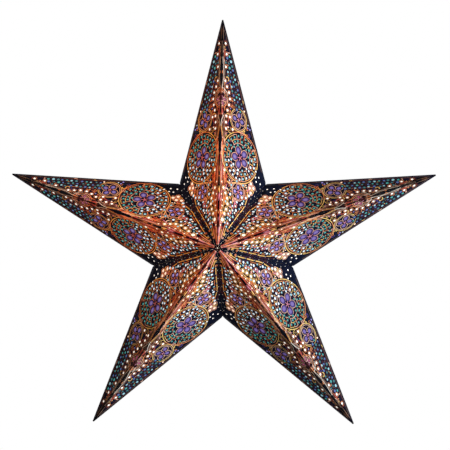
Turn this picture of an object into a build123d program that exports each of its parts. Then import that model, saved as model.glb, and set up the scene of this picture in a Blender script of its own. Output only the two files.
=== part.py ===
from build123d import *
from math import acos, atan2, cos, pi, radians, sin, sqrt
import os

# Folding five-pointed paper star with a lamp on its front-back axis.
# Millimetres. +Z is up, the front faces -Y, +X is to the right seen from the front.
# The model is worked out round the star's centre and moved so that the origin
# is the middle of the hanging eyelet.

# Star
arm_names = ("top", "upper_right", "lower_right", "lower_left", "upper_left")
full_turn = 360.0
arm_step = full_turn / len(arm_names)
tip_radius = 300.0
notch_radius = 98.0
half_depth = 98.0

# Paper
paper_thickness = 0.4
ridge_gap = 0.4
outline_gap = 0.6
seam_gap = 0.4
tip_cut = 1.0
notch_cut = 1.2
front_centre_cut = 1.5
back_centre_cut = 12.5

# Tissue liners, glued on the inner faces
liner_thickness = 0.15
liner_ridge_margin = 6.0
liner_edge_margin = 9.5
liner_corner_cut = 3.0

# Glue flaps, on the inner faces too
flap_thickness = 0.3
flap_width = 8.0
flap_edge_margin = 0.9
flap_tip_setback = 48.0
flap_notch_setback = 14.0
flap_centre_setback = 26.0
flap_slope = 9.0

# Pierced ornament of one panel: places as shares of the panel's length and width
big_rosette_shares = (0.41, 0.51)
small_rosette_shares = (0.583, 0.275)
inner_rosette_shares = (0.212, 0.29)
outer_dot_shares = ((0.68, 0.30), (0.765, 0.20))
big_petal_inner = 5.0
big_petal_outer = 18.0
big_petal_half_width = 5.2
big_petal_shoulder_shares = (0.36, 0.80)
small_petal_inner = 2.4
small_petal_outer = 9.4
small_petal_half_width = 2.7
rosette_petals = 4
dot_radius = 2.1

# Eyelets
eyelet_wall = 0.3
eyelet_flange = 0.25
eyelet_clearance = 0.1
punch_sides = 8
tie_sides = 12
hang_bore_radius = 2.0
hang_flange_radius = 3.2
hang_liner_clearance = 5.0
hang_ridge_distance = 7.3
tie_bore_radius = 2.0
tie_flange_radius = 3.0
tie_seam_distance = 5.6
tie_centre_distances = (48.0, 96.0)

# Wire bracket, hooked into one back panel beside the back centre
wire_radius = 0.6
wire_sides = 6
hook_corner_cut = 3.0
hook_hole_radius = 1.6
hook_hole_distance = 10.0
hook_free_angle = 34.0
hook_lead_angle = 44.0
stem_start = 17.0
stem_clearance = 0.3
knuckle_share = 0.6

# Cord grip
grip_start = 22.0
grip_nut_length = 8.0
grip_nut_radius = 5.6
grip_neck_length = 7.0
grip_neck_radius = 4.5
cord_bore_radius = 3.2
eye_clearance = 0.2

# Lamp holder, with so many flat sides, as is the bulb
lamp_sides = 24
holder_radius = 13.5
holder_wall = 1.8
cap_length = 15.0
cap_flat_radius = 8.0
cap_shoulder = 9.0
neck_clearance = 0.2
shell_length = 24.0
spigot_length = 2.5
spigot_wall = 1.0
spigot_clearance = 0.15
ledge_width = 2.0
ledge_thickness = 1.2
block_thickness = 4.0
block_clearance = 0.2
contact_thickness = 0.4
contact_width = 4.0
tongue_bend_share = 0.33
tongue_rise = 1.6
side_contact_height = 12.0

# Bulb with a 14 mm screw cap
screw_radius = 7.0
screw_length = 16.0
screw_turns = 3
screw_depth = 0.5
foot_length = 3.6
foot_tip_radius = 2.4
foot_tip_length = 0.9
foot_top_radius = 5.6
bulb_globe_radius = 22.5
bulb_neck_radius = 6.4
bulb_neck_length = 4.0
globe_chords = 8

# Derived: the flat triangle of one panel, with its corners centre, tip and notch
ridge_length = sqrt(tip_radius**2 + half_depth**2)
seam_length = sqrt(notch_radius**2 + half_depth**2)
half_arm = radians(arm_step) / 2
outline_length = sqrt(tip_radius**2 + notch_radius**2 - 2 * tip_radius * notch_radius * cos(half_arm))
centre_corner = acos(
    (ridge_length**2 + seam_length**2 - outline_length**2) / (2 * ridge_length * seam_length)
)
tip_corner = acos(
    (ridge_length**2 + outline_length**2 - seam_length**2) / (2 * ridge_length * outline_length)
)
panel_centre = (0.0, 0.0)
panel_tip = (ridge_length, 0.0)
panel_notch = (seam_length * cos(centre_corner), seam_length * sin(centre_corner))
panel_width = panel_notch[1]


# Lines in the flat panel are kept as a unit normal and a distance from the corner at the centre
def edge_line(start, end, margin):
    """The line from start to end, moved by margin to its left."""
    along = (end[0] - start[0], end[1] - start[1])
    length = sqrt(along[0] ** 2 + along[1] ** 2)
    normal = (-along[1] / length, along[0] / length)
    return normal, normal[0] * start[0] + normal[1] * start[1] + margin


def corner_line(corner, angle, distance):
    """The line square to the direction angle, at a distance in from a corner."""
    normal = (cos(angle), sin(angle))
    return normal, normal[0] * corner[0] + normal[1] * corner[1] + distance


def crossing(first, second):
    """The point where two lines cross."""
    (a, b), c = first
    (d, e), f = second
    scale = a * e - b * d
    return ((c * e - b * f) / scale, (a * f - c * d) / scale)


def outline(lines):
    """The corners of the shape that the lines, taken in turn, go round."""
    following = lines[1:] + lines[:1]
    return [crossing(line, after) for line, after in zip(lines, following)]


def panel_outline(ridge_margin, outline_margin, seam_margin, cuts):
    """A sheet's outline, each corner cut off square at its cut's distance from its point."""
    centre_cut, tip_corner_cut, notch_corner_cut = cuts
    notch_angle = pi + centre_corner + (pi - centre_corner - tip_corner) / 2
    ridge = edge_line(panel_centre, panel_tip, ridge_margin)
    outer = edge_line(panel_tip, panel_notch, outline_margin)
    seam = edge_line(panel_notch, panel_centre, seam_margin)
    return outline([
        ridge,
        corner_line(crossing(ridge, outer), pi - tip_corner / 2, tip_corner_cut),
        outer,
        corner_line(crossing(outer, seam), notch_angle, notch_corner_cut),
        seam,
        corner_line(crossing(seam, ridge), centre_corner / 2, centre_cut),
    ])


def wire_of(points):
    """A closed wire through flat points."""
    return Wire.make_polygon([Vector(x, y, 0) for x, y in points], close=True)


def plate(points, holes, low, high):
    """A flat plate with holes, from the height low to the height high."""
    face = Face(wire_of(points), [wire_of(hole) for hole in holes])
    return Solid.extrude(face, Vector(0, 0, high - low)).moved(Location((0, 0, low)))


# Pierced ornament
def at_shares(shares):
    """A place in the panel, from shares of its length and width."""
    return (shares[0] * ridge_length, shares[1] * panel_width)


def turned(place, angle, along, across):
    """A point set off from a place, in axes turned by an angle."""
    x = place[0] + along * cos(angle) - across * sin(angle)
    y = place[1] + along * sin(angle) + across * cos(angle)
    return (x, y)


def diamond(place, angle, inner, outer, half_width):
    """A four-sided petal pointing away from a place."""
    middle = (inner + outer) / 2
    steps = ((inner, 0), (middle, -half_width), (outer, 0), (middle, half_width))
    return [turned(place, angle, along, across) for along, across in steps]


def leaf(place, angle):
    """A six-sided petal pointing away from a place."""
    reach = big_petal_outer - big_petal_inner
    near, far = [big_petal_inner + share * reach for share in big_petal_shoulder_shares]
    steps = (
        (big_petal_inner, 0),
        (near, -big_petal_half_width),
        (far, -big_petal_half_width),
        (big_petal_outer, 0),
        (far, big_petal_half_width),
        (near, big_petal_half_width),
    )
    return [turned(place, angle, along, across) for along, across in steps]


def petal_angles(count, start):
    """Directions spread evenly round a rosette."""
    return [start + 2 * pi * number / count for number in range(count)]


def ornament():
    """The pierced holes of one panel."""
    holes = []
    big = at_shares(big_rosette_shares)
    for angle in petal_angles(rosette_petals, pi / rosette_petals):
        holes.append(leaf(big, angle))
    small = (small_petal_inner, small_petal_outer, small_petal_half_width)
    for shares in (small_rosette_shares, inner_rosette_shares):
        for angle in petal_angles(rosette_petals, pi / rosette_petals):
            holes.append(diamond(at_shares(shares), angle, *small))
    for shares in outer_dot_shares:
        holes.append(diamond(at_shares(shares), 0, -dot_radius, dot_radius, dot_radius))
    return holes


def punched_hole(place, radius):
    """A many-sided hole that clears a circle of the radius."""
    corner = radius / cos(pi / punch_sides)
    return [turned(place, angle, corner, 0) for angle in petal_angles(punch_sides, 0)]


def liner_points():
    """The corners of the tissue behind one sheet."""
    cuts = (liner_corner_cut, liner_corner_cut, liner_corner_cut)
    return panel_outline(liner_ridge_margin, liner_edge_margin, liner_edge_margin, cuts)


# Places of the eyelets and of the bracket's hole in the panel that holds them
liner_reach = max(x for x, y in liner_points())
hang_place = (liner_reach + hang_liner_clearance + hang_flange_radius, hang_ridge_distance)
hook_place = (
    hook_hole_distance * cos(centre_corner / 2),
    hook_hole_distance * sin(centre_corner / 2),
)
tie_places = [
    turned(panel_centre, centre_corner, distance, -tie_seam_distance)
    for distance in tie_centre_distances
]


def flap_plate(start, end, start_setback, end_setback):
    """A strip with sloped ends on the inner face, along the edge from start to end."""
    along = (end[0] - start[0], end[1] - start[1])
    length = sqrt(along[0] ** 2 + along[1] ** 2)
    angle = atan2(along[1], along[0])
    near = flap_edge_margin
    far = flap_edge_margin + flap_width
    corners = (
        (start_setback, near),
        (length - end_setback, near),
        (length - end_setback - flap_slope, far),
        (start_setback + flap_slope, far),
    )
    points = [turned(start, angle, along_edge, inwards) for along_edge, inwards in corners]
    return plate(points, [], -flap_thickness, 0)


def paper_panel(centre_cut, seam_flap, punched):
    """One pierced sheet with its outer face up, and its seam flap if it carries one."""
    cuts = (centre_cut, tip_cut, notch_cut)
    points = panel_outline(ridge_gap, outline_gap, seam_gap, cuts)
    holes = ornament() + [punched_hole(place, radius) for place, radius in punched]
    sheet = plate(points, holes, 0, paper_thickness)
    if seam_flap:
        flap = flap_plate(panel_notch, panel_centre, flap_notch_setback, flap_centre_setback)
        sheet = sheet.fuse(flap)
    return sheet


def liner():
    """The tissue behind one sheet."""
    return plate(liner_points(), [], -liner_thickness, 0)


def eyelet(place, bore_radius, flange_radius):
    """A two-flanged tube set through the sheet."""
    barrel = bore_radius + eyelet_wall
    low = -eyelet_flange
    high = paper_thickness + eyelet_flange
    profile = [
        (bore_radius, low),
        (flange_radius, low),
        (flange_radius, 0),
        (barrel, 0),
        (barrel, paper_thickness),
        (flange_radius, paper_thickness),
        (flange_radius, high),
        (bore_radius, high),
    ]
    return turned_part(profile).moved(Location((place[0], place[1], 0)))


def tie_eyelet(place):
    """A pressed ring of flat sides, set through the sheet."""
    bore = ring_points(place, tie_bore_radius)
    barrel = plate(ring_points(place, tie_bore_radius + eyelet_wall), [bore], 0, paper_thickness)
    rims = [
        plate(ring_points(place, tie_flange_radius), [bore], low, low + eyelet_flange)
        for low in (-eyelet_flange, paper_thickness)
    ]
    return barrel.fuse(*rims).clean()


def ring_points(place, radius):
    """The corners of a tie eyelet's ring."""
    return [turned(place, angle, radius, 0) for angle in petal_angles(tie_sides, 0)]


def turned_part(profile):
    """A solid of revolution about Z, from points given as radius and height."""
    wire = Wire.make_polygon([Vector(radius, 0, height) for radius, height in profile], close=True)
    return Solid.revolve(Face(wire), full_turn, Axis.Z)


def many_sided_part(profile):
    """A solid about Z with flat sides, whose corners pass through the profile's points."""
    faces = []
    angles = petal_angles(lamp_sides, 0)
    for (radius, height), (next_radius, next_height) in zip(profile, profile[1:] + profile[:1]):
        for angle, next_angle in zip(angles, angles[1:] + angles[:1]):
            corners = [
                Vector(radius * cos(angle), radius * sin(angle), height),
                Vector(radius * cos(next_angle), radius * sin(next_angle), height),
                Vector(next_radius * cos(next_angle), next_radius * sin(next_angle), next_height),
                Vector(next_radius * cos(angle), next_radius * sin(angle), next_height),
            ]
            if radius == 0:
                corners = corners[1:]
            if next_radius == 0:
                corners = corners[:-1]
            if radius != 0 or next_radius != 0:
                faces.append(Face(Wire.make_polygon(corners, close=True)))
    return Solid(Shell(faces)).clean()


# Placing a panel in the star
def spoke(angle):
    """The unit vector in the star's plane at an angle clockwise from the top, in degrees."""
    return Vector(sin(radians(angle)), 0, cos(radians(angle)))


def panel_location(arm, face, side):
    """A panel's frame: X along the ridge, Z out of the back or into the front."""
    toward = -1 if face == "front" else 1
    centre = Vector(0, toward * half_depth, 0)
    ridge = (spoke(arm * arm_step) * tip_radius - centre).normalized()
    notch = spoke((arm + side / 2) * arm_step) * notch_radius
    normal = ridge.cross(notch - centre).normalized() * side
    return Plane(origin=centre, x_dir=ridge, z_dir=normal).location


def place_panel(shape, arm, face, side):
    """Moves a flat piece of the back right panel to its arm, face and side."""
    if side < 0:
        shape = shape.mirror(Plane.XZ)
    if face == "front":
        shape = shape.mirror(Plane.XY)
    return shape.moved(panel_location(arm, face, side))


def panel_name(arm, face, side):
    """The name of a panel's place, with its side as seen from the front, tip up."""
    hand = "right" if side > 0 else "left"
    return f"{arm_names[arm]}_{face}_{hand}"


def star_point(place, arm, face, side):
    """Where a place on the middle of a back right sheet comes to in the star."""
    marker = Vertex(place[0], place[1], paper_thickness / 2)
    return marker.moved(panel_location(arm, face, side)).center()


# The arms are joined in a row; the seam after the third arm stays open and is tied
open_seam_arm = 2
hinge_side = (1, -1, -1, 1, 1)
hang_panel = (0, "back", 1)
hang_point = star_point(hang_place, *hang_panel)


def star_parts():
    """Every sheet, liner, flap and eyelet, by node name."""
    parts = {}
    liner_shape = liner()
    plain = {
        "front": paper_panel(front_centre_cut, False, []),
        "back": paper_panel(back_centre_cut, False, []),
    }
    flapped = {
        "front": paper_panel(front_centre_cut, True, []),
        "back": paper_panel(back_centre_cut, True, []),
    }
    hang_hole = (hang_place, hang_bore_radius + eyelet_wall + eyelet_clearance)
    tie_radius = tie_bore_radius + eyelet_wall + eyelet_clearance
    tie_holes = [(place, tie_radius) for place in tie_places]
    hook_hole = (hook_place, hook_hole_radius)
    hanging = paper_panel(hook_corner_cut, False, [hang_hole, hook_hole])
    tied = paper_panel(back_centre_cut, False, tie_holes)
    after_open_seam = (open_seam_arm + 1) % len(arm_names)
    tied_panels = ((open_seam_arm, "back", 1), (after_open_seam, "back", -1))
    for arm in range(len(arm_names)):
        for face in ("front", "back"):
            for side in (-1, 1):
                name = panel_name(arm, face, side)
                shape = plain[face]
                if side < 0 and arm != after_open_seam:
                    shape = flapped[face]
                if (arm, face, side) == hang_panel:
                    shape = hanging
                if (arm, face, side) in tied_panels:
                    shape = tied
                parts[name + "_paper"] = place_panel(shape, arm, face, side)
                parts[name + "_liner"] = place_panel(liner_shape, arm, face, side)
        flap = flap_plate(panel_tip, panel_notch, flap_tip_setback, flap_notch_setback)
        parts[arm_names[arm] + "_glue_flap"] = place_panel(flap, arm, "back", -hinge_side[arm])
    hang_eyelet = eyelet(hang_place, hang_bore_radius, hang_flange_radius)
    parts["hanging_eyelet"] = place_panel(hang_eyelet, *hang_panel)
    ties = Compound([tie_eyelet(place) for place in tie_places])
    for panel in tied_panels:
        parts[panel_name(*panel) + "_tie_eyelets"] = place_panel(ties, *panel)
    return parts


# Lamp, turned about its axis, which starts at the back centre and points forward
back_centre = Vector(0, half_depth, 0)
lamp_axis = Vector(0, -1, 0)


def lamp_hinge_direction():
    """The line through the back centre about which the lamp swings in its panel's plane."""
    ridge = (spoke(0) * tip_radius - back_centre).normalized()
    seam = (spoke(arm_step / 2) * notch_radius - back_centre).normalized()
    normal = ridge.cross(seam).normalized()
    return normal.cross(lamp_axis).normalized()


lamp_plane = Plane(origin=back_centre, x_dir=lamp_hinge_direction(), z_dir=lamp_axis)


def wire_bracket():
    """Sprung wire: a hook through the panel, a stem beside the axis and an eye round the grip."""
    hole = lamp_plane.to_local_coords(star_hook_point())
    radius = sqrt(hole.Y**2 + hole.Z**2)
    rest_angle = atan2(hole.Y, hole.Z)
    turn = 1 if rest_angle > 0 else -1
    first = rest_angle + turn * radians(hook_free_angle)
    last = -turn * radians(hook_lead_angle)

    def on_hook(angle):
        return Vector(hole.X, radius * sin(angle), radius * cos(angle))

    stem_side = grip_nut_radius + stem_clearance + wire_radius
    bend = Vector(0, -turn * stem_side, stem_start)
    eye_height = grip_start + grip_nut_length + wire_radius + eye_clearance / 2
    eye_radius = grip_neck_radius + eye_clearance + wire_radius
    corner = Vector(0, -turn * stem_side, eye_height)
    end = Vector(0, -turn * eye_radius, eye_height)
    arc = ThreePointArc(on_hook(first), on_hook((first + last) / 2), on_hook(last))
    section = Plane(origin=arc @ 0, z_dir=arc % 0) * RegularPolygon(wire_radius, wire_sides)
    wire = sweep(section, path=arc)
    stops = (on_hook(last), bend, corner, end)
    for start, stop in zip(stops, stops[1:]):
        wire = wire + straight_wire(start, stop)
    for before, knuckle, after in zip(stops, stops[1:], stops[2:]):
        wire = wire + wire_knuckle(before, knuckle, after)
    corners = [
        (eye_radius + wire_radius * cos(angle), eye_height + wire_radius * sin(angle))
        for angle in petal_angles(wire_sides, pi / wire_sides)
    ]
    return wire + turned_part(corners)


def straight_wire(start, end):
    """A straight run of the bracket's wire."""
    run = Plane(origin=start, z_dir=end - start)
    return extrude(run * RegularPolygon(wire_radius, wire_sides), (end - start).length)


def wire_knuckle(before, knuckle, after):
    """A short run through a bend, level with both of its straight runs."""
    across = (knuckle - before).normalized() + (after - knuckle).normalized()
    reach = across.normalized() * wire_radius * knuckle_share
    return straight_wire(knuckle - reach, knuckle + reach)


def star_hook_point():
    """The middle of the bracket's hole, at rest."""
    return star_point(hook_place, *hang_panel)


def cord_grip():
    """Nut and hollow neck that hold the cord and the bracket on the holder."""
    neck_start = grip_start + grip_nut_length
    neck_end = neck_start + grip_neck_length
    return turned_part([
        (cord_bore_radius, grip_start),
        (grip_nut_radius, grip_start),
        (grip_nut_radius, neck_start),
        (grip_neck_radius, neck_start),
        (grip_neck_radius, neck_end),
        (cord_bore_radius, neck_end),
    ])


cap_start = grip_start + grip_nut_length + 2 * wire_radius + eye_clearance
cap_end = cap_start + cap_length
shell_end = cap_end + shell_length
shell_bore = holder_radius - holder_wall


def holder_cap():
    """Domed rear half of the holder."""
    hole = grip_neck_radius + neck_clearance
    return many_sided_part([
        (hole, cap_start),
        (cap_flat_radius, cap_start),
        (holder_radius, cap_start + cap_shoulder),
        (holder_radius, cap_end),
        (shell_bore, cap_end),
        (shell_bore, cap_start + cap_shoulder),
        (hole, cap_start + cap_shoulder),
    ])


def holder_shell():
    """Front half of the holder, with a spigot in the cap and a ledge for the contact block."""
    spigot = shell_bore - spigot_clearance
    return many_sided_part([
        (spigot, cap_end - spigot_length),
        (spigot, cap_end),
        (holder_radius, cap_end),
        (holder_radius, shell_end),
        (shell_bore, shell_end),
        (shell_bore, cap_end + ledge_thickness),
        (shell_bore - ledge_width, cap_end + ledge_thickness),
        (shell_bore - ledge_width, cap_end),
        (spigot - spigot_wall, cap_end),
        (spigot - spigot_wall, cap_end - spigot_length),
    ])


block_start = cap_end + ledge_thickness
block_end = block_start + block_thickness
tongue_top = block_end + contact_thickness + tongue_rise
foot_start = tongue_top


def contact_block():
    """Insulating disc that carries both contacts."""
    radius = shell_bore - block_clearance
    return many_sided_part([(0, block_start), (radius, block_start), (radius, block_end), (0, block_end)])


def centre_contact():
    """Bent tongue under the bulb's foot."""
    reach = screw_radius
    base = block_end
    top = tongue_top
    points = [
        (-reach, base),
        (-reach * tongue_bend_share, base),
        (foot_tip_radius / 2, top - contact_thickness),
        (foot_tip_radius, top - contact_thickness),
        (foot_tip_radius, top),
        (0, top),
        (-reach * tongue_bend_share - contact_thickness / 2, base + contact_thickness),
        (-reach, base + contact_thickness),
    ]
    wire = Wire.make_polygon([Vector(x, -contact_width / 2, z) for x, z in points], close=True)
    return Solid.extrude(Face(wire), Vector(0, contact_width, 0))


def side_contact():
    """Upright strip beside the bulb's screw cap."""
    inner = screw_radius + screw_depth + block_clearance
    strip = Box(
        contact_thickness,
        contact_width,
        side_contact_height,
        align=(Align.MIN, Align.CENTER, Align.MIN),
    )
    return strip.moved(Location((inner, 0, block_end)))


screw_start = foot_start + foot_tip_length + foot_length
screw_end = screw_start + screw_length


def bulb_foot():
    """Contact tip and black insulator under the screw cap."""
    tip_end = foot_start + foot_tip_length
    return many_sided_part([
        (0, foot_start),
        (foot_tip_radius, foot_start),
        (foot_tip_radius, tip_end),
        (foot_top_radius, screw_start),
        (0, screw_start),
    ])


def bulb_screw_cap():
    """Rolled screw shell round the bulb's sealed core."""
    pitch = screw_length / screw_turns
    profile = [(0, screw_start), (screw_radius - screw_depth, screw_start)]
    for number in range(screw_turns):
        low = screw_start + pitch * number
        profile.append((screw_radius, low + pitch / 2))
        profile.append((screw_radius - screw_depth, low + pitch))
    profile.append((0, screw_end))
    return many_sided_part(profile)


globe_centre = screw_end + bulb_neck_length + sqrt(bulb_globe_radius**2 - bulb_neck_radius**2)


def bulb_globe():
    """Opal globe on its neck, sealed, so solid inside."""
    neck_angle = pi - atan2(bulb_neck_radius, globe_centre - screw_end - bulb_neck_length)
    profile = [(0, screw_end), (bulb_neck_radius, screw_end)]
    for number in range(globe_chords):
        angle = neck_angle * (1 - number / globe_chords)
        profile.append((bulb_globe_radius * sin(angle), globe_centre + bulb_globe_radius * cos(angle)))
    profile.append((0, globe_centre + bulb_globe_radius))
    return many_sided_part(profile)


def lamp_parts():
    """Every piece of the lamp, by node name, in the star."""
    makers = (
        wire_bracket,
        cord_grip,
        holder_cap,
        holder_shell,
        contact_block,
        centre_contact,
        side_contact,
        bulb_foot,
        bulb_screw_cap,
        bulb_globe,
    )
    return {maker.__name__: maker().moved(lamp_plane.location) for maker in makers}


def main():
    os.makedirs("parts", exist_ok=True)
    parts = star_parts()
    parts.update(lamp_parts())
    for name, shape in parts.items():
        export_step(shape.moved(Location(-hang_point)), f"parts/{name}.step")
    print(len(parts), "nodes; origin at", hang_point)


main()
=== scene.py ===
from math import acos, atan2, ceil, cos, dist, hypot, pi, radians, sin, sqrt, tan

import bpy
import numpy as np
from bpy.props import FloatProperty, FloatVectorProperty, IntProperty, PointerProperty
from mathutils import Matrix, Vector


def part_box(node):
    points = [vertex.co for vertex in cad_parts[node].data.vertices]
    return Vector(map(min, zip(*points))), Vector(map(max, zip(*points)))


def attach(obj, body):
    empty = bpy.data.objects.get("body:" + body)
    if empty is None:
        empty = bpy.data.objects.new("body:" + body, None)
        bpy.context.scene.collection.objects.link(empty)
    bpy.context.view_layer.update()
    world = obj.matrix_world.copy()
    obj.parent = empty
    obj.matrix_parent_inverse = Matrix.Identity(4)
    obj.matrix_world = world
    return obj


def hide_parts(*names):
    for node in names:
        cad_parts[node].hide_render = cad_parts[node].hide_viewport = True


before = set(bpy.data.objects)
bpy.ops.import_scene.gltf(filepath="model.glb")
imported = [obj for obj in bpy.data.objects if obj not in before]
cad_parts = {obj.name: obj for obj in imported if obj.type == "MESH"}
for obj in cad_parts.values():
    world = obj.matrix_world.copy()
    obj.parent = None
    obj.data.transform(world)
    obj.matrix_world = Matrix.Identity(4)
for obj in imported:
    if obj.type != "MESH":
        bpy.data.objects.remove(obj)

bl_info = {
    "name": "Pierced Paper Star Lantern",
    "version": (1, 0, 0),
    "blender": (4, 5, 0),
    "location": "3D View > Sidebar > Star",
    "description": "Dresses the folding paper star: pierced printed sheets, tissue, eyelets and lamp",
    "category": "Object",
}

MM = 0.001
FULL = 2 * pi
FAN = ("top", "upper_right", "lower_right", "lower_left", "upper_left")

# The star, in millimetres round its own centre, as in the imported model
TIP_RADIUS = 300.0
NOTCH_RADIUS = 98.0
HALF_DEPTH = 98.0
STAR_CENTRE = Vector((-4.84995, -5.02071, -267.04807))
STEP = FULL / len(FAN)

# One flat panel: its sides, its angles at the centre and at the tip, and its third corner, the notch
RIDGE = hypot(TIP_RADIUS, HALF_DEPTH)
SEAM = hypot(NOTCH_RADIUS, HALF_DEPTH)
OUTER = sqrt(TIP_RADIUS**2 + NOTCH_RADIUS**2 - 2 * TIP_RADIUS * NOTCH_RADIUS * cos(STEP / 2))
AT_CENTRE = acos((RIDGE**2 + SEAM**2 - OUTER**2) / (2 * RIDGE * SEAM))
AT_TIP = acos((RIDGE**2 + OUTER**2 - SEAM**2) / (2 * RIDGE * OUTER))
NOTCH = (SEAM * cos(AT_CENTRE), SEAM * sin(AT_CENTRE))
UV_SPAN = 320.0  # millimetres of panel in one unit of its UV map

# Holes for the eyelets and the bracket: x, y and radius, and for the ties places along the seam
HANG_HOLE = (RIDGE - 32.882, 7.3, 2.45)
HOOK_HOLE = (10 * cos(AT_CENTRE / 2), 10 * sin(AT_CENTRE / 2), 1.6)
TIE_DISTANCES = (48.0, 96.0)
TIE_SETBACK = 5.6
TIE_RADIUS = 2.45


def linear(code):
    """The linear colour of an sRGB hex value."""
    parts = [int(code[i : i + 2], 16) / 255 for i in (1, 3, 5)]
    return (*(p / 12.92 if p <= 0.04045 else ((p + 0.055) / 1.055) ** 2.4 for p in parts), 1.0)


def wire(tree, node, links):
    """Fills sockets by name or number with values, sockets, nodes' first outputs, or a list of these."""
    for key, given in links.items() if isinstance(links, dict) else enumerate(links):
        for value in given if isinstance(given, list) else [given]:
            if isinstance(value, bpy.types.Node):
                value = value.outputs[0]
            if isinstance(value, bpy.types.NodeSocket):
                tree.links.new(value, node.inputs[key])
            else:
                node.inputs[key].default_value = value


def add(tree, kind, links=(), stops=(), **settings):
    """Adds a node, named without its tree's prefix, with its links, settings and colour stops."""
    node = tree.nodes.new(kind if "Node" in kind else tree.bl_idname.removesuffix("Tree") + kind)
    for key, value in settings.items():
        setattr(node, key, value)
    wire(tree, node, links)
    for number, (place, code) in enumerate(stops):
        points = node.color_ramp.elements
        inner = 0 < number < len(stops) - 1
        point = points.new(place) if inner else points[-1 if number else 0]
        point.position, point.color = place, linear(code)
    return node


# The flat panel


def off_outline(x, gap):
    """A place at x, a gap inside the outline edge."""
    return (x, (RIDGE - x) * tan(AT_TIP) - gap / cos(AT_TIP))


def off_seam(along, gap):
    """A place along the seam from the centre, a gap inside it."""
    c, s = cos(AT_CENTRE), sin(AT_CENTRE)
    return (along * c + gap * s, along * s - gap * c)


def gaps(x, y):
    """How far a place lies inside the seam and inside the outline edge."""
    return (x * sin(AT_CENTRE) - y * cos(AT_CENTRE),
            (RIDGE - x) * sin(AT_TIP) - y * cos(AT_TIP))


def polar(place, reach, angle, high=None):
    """The point at an angle on a circle round a place, or on an ellipse that is as high as given."""
    return (place[0] + reach * cos(angle), place[1] + (reach if high is None else high) * sin(angle))


def crossing(first, second):
    """Where two lines cross, each given as its normal and its distance along it."""
    (a, b), c = first
    (d, e), f = second
    scale = a * e - b * d
    return ((c * e - b * f) / scale, (a * f - c * d) / scale)


def edge(start, end, margin):
    """The line a margin inside an edge."""
    length = dist(start, end)
    normal = (-(end[1] - start[1]) / length, (end[0] - start[0]) / length)
    return normal, normal[0] * start[0] + normal[1] * start[1] + margin


def corner(point, angle, distance):
    """The line that cuts a corner off square to an angle, at a distance."""
    normal = (cos(angle), sin(angle))
    return normal, normal[0] * point[0] + normal[1] * point[1] + distance


def panel_outline(ridge_margin, outer_margin, seam_margin, cuts):
    """The sheet's outline with its corners cut off square: centre, tip and notch."""
    ridge = edge((0, 0), (RIDGE, 0), ridge_margin)
    outer = edge((RIDGE, 0), NOTCH, outer_margin)
    seam = edge(NOTCH, (0, 0), seam_margin)
    turn = pi + AT_CENTRE + (pi - AT_CENTRE - AT_TIP) / 2
    lines = [
        ridge,
        corner(crossing(ridge, outer), pi - AT_TIP / 2, cuts[1]),
        outer,
        corner(crossing(outer, seam), turn, cuts[2]),
        seam,
        corner(crossing(seam, ridge), AT_CENTRE / 2, cuts[0]),
    ]
    return [crossing(a, b) for a, b in zip(lines, lines[1:] + lines[:1])]


def spoke(angle):
    """The direction in the star's plane at a clockwise angle from upright."""
    return Vector((sin(angle), 0, cos(angle)))


def panel_matrix(arm, face, side):
    """Flat panel millimetres to the frame in metres, with Z outwards."""
    centre = Vector((0, -HALF_DEPTH if face == "front" else HALF_DEPTH, 0))
    ridge = (spoke(arm * STEP) * TIP_RADIUS - centre).normalized()
    notch = spoke((arm + side / 2) * STEP) * NOTCH_RADIUS - centre
    across = (notch - ridge * notch.dot(ridge)).normalized()
    outward = ridge.cross(across)
    if outward.y * centre.y < 0:
        outward = -outward
    place = Matrix((ridge, across, outward)).transposed().to_4x4()
    place.translation = centre + STAR_CENTRE
    return Matrix.Scale(MM, 4) @ place


def mitre(a, b, thickness):
    """How far an outer face reaches past its fold, to meet its neighbour's."""
    angle = panel_matrix(*a).col[2].xyz.angle(panel_matrix(*b).col[2].xyz)
    return thickness * tan(angle / 2)


# The pattern, in flat panel millimetres: the four main figures
OVAL = (130.6, 38.4)
OVAL_SIZE = (34.6, 33.6)
RING = (181.5, 34.0)
EGG = (83.2, 36.0)
LACE = (204.0, 0.0)

# Flowers: place, petals, first angle, reach, a petal's window and tissue, the ring round it, its thread's length
FLOWERS = (
    (OVAL, 5, -20, 9.8, (4.1, 3.4), "violet", (4.9, 4.2), 5.6),
    (RING, 4, 10, 7.0, (3.4, 2.9), "violet", (4.1, 3.6), 3.8),
    (EGG, 4, 0, 6.1, (2.5, 2.2), "lilac", (3.2, 2.9), 3.6),
)

# How far the painted flames reach from the ridge, and the dark spindles that lie along it
FLAMES = (
    (0, 0), (6, 1.6), (14, 3.6), (24, 5.6), (34, 7.4), (46, 10), (60, 14), (82, 15), (96, 20), (107, 12),
    (118, 6), (130, 6), (150, 8), (163, 11), (176, 14), (190, 14), (206, 14), (220, 11), (236, 8),
    (256, 6), (272, 6), (284, 4), (300, 2), (320, 0),
)
SPINDLES = (
    (0, 0), (126, 0), (136, 1.4), (150, 3.8), (159, 4.8), (165, 3.2), (169, 1.0), (176, 0), (186, 0),
    (189, 3.6), (192, 0), (215, 0), (219, 1.4), (240, 2.8), (262, 2.4), (286, 0.6), (320, 0),
)

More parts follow.
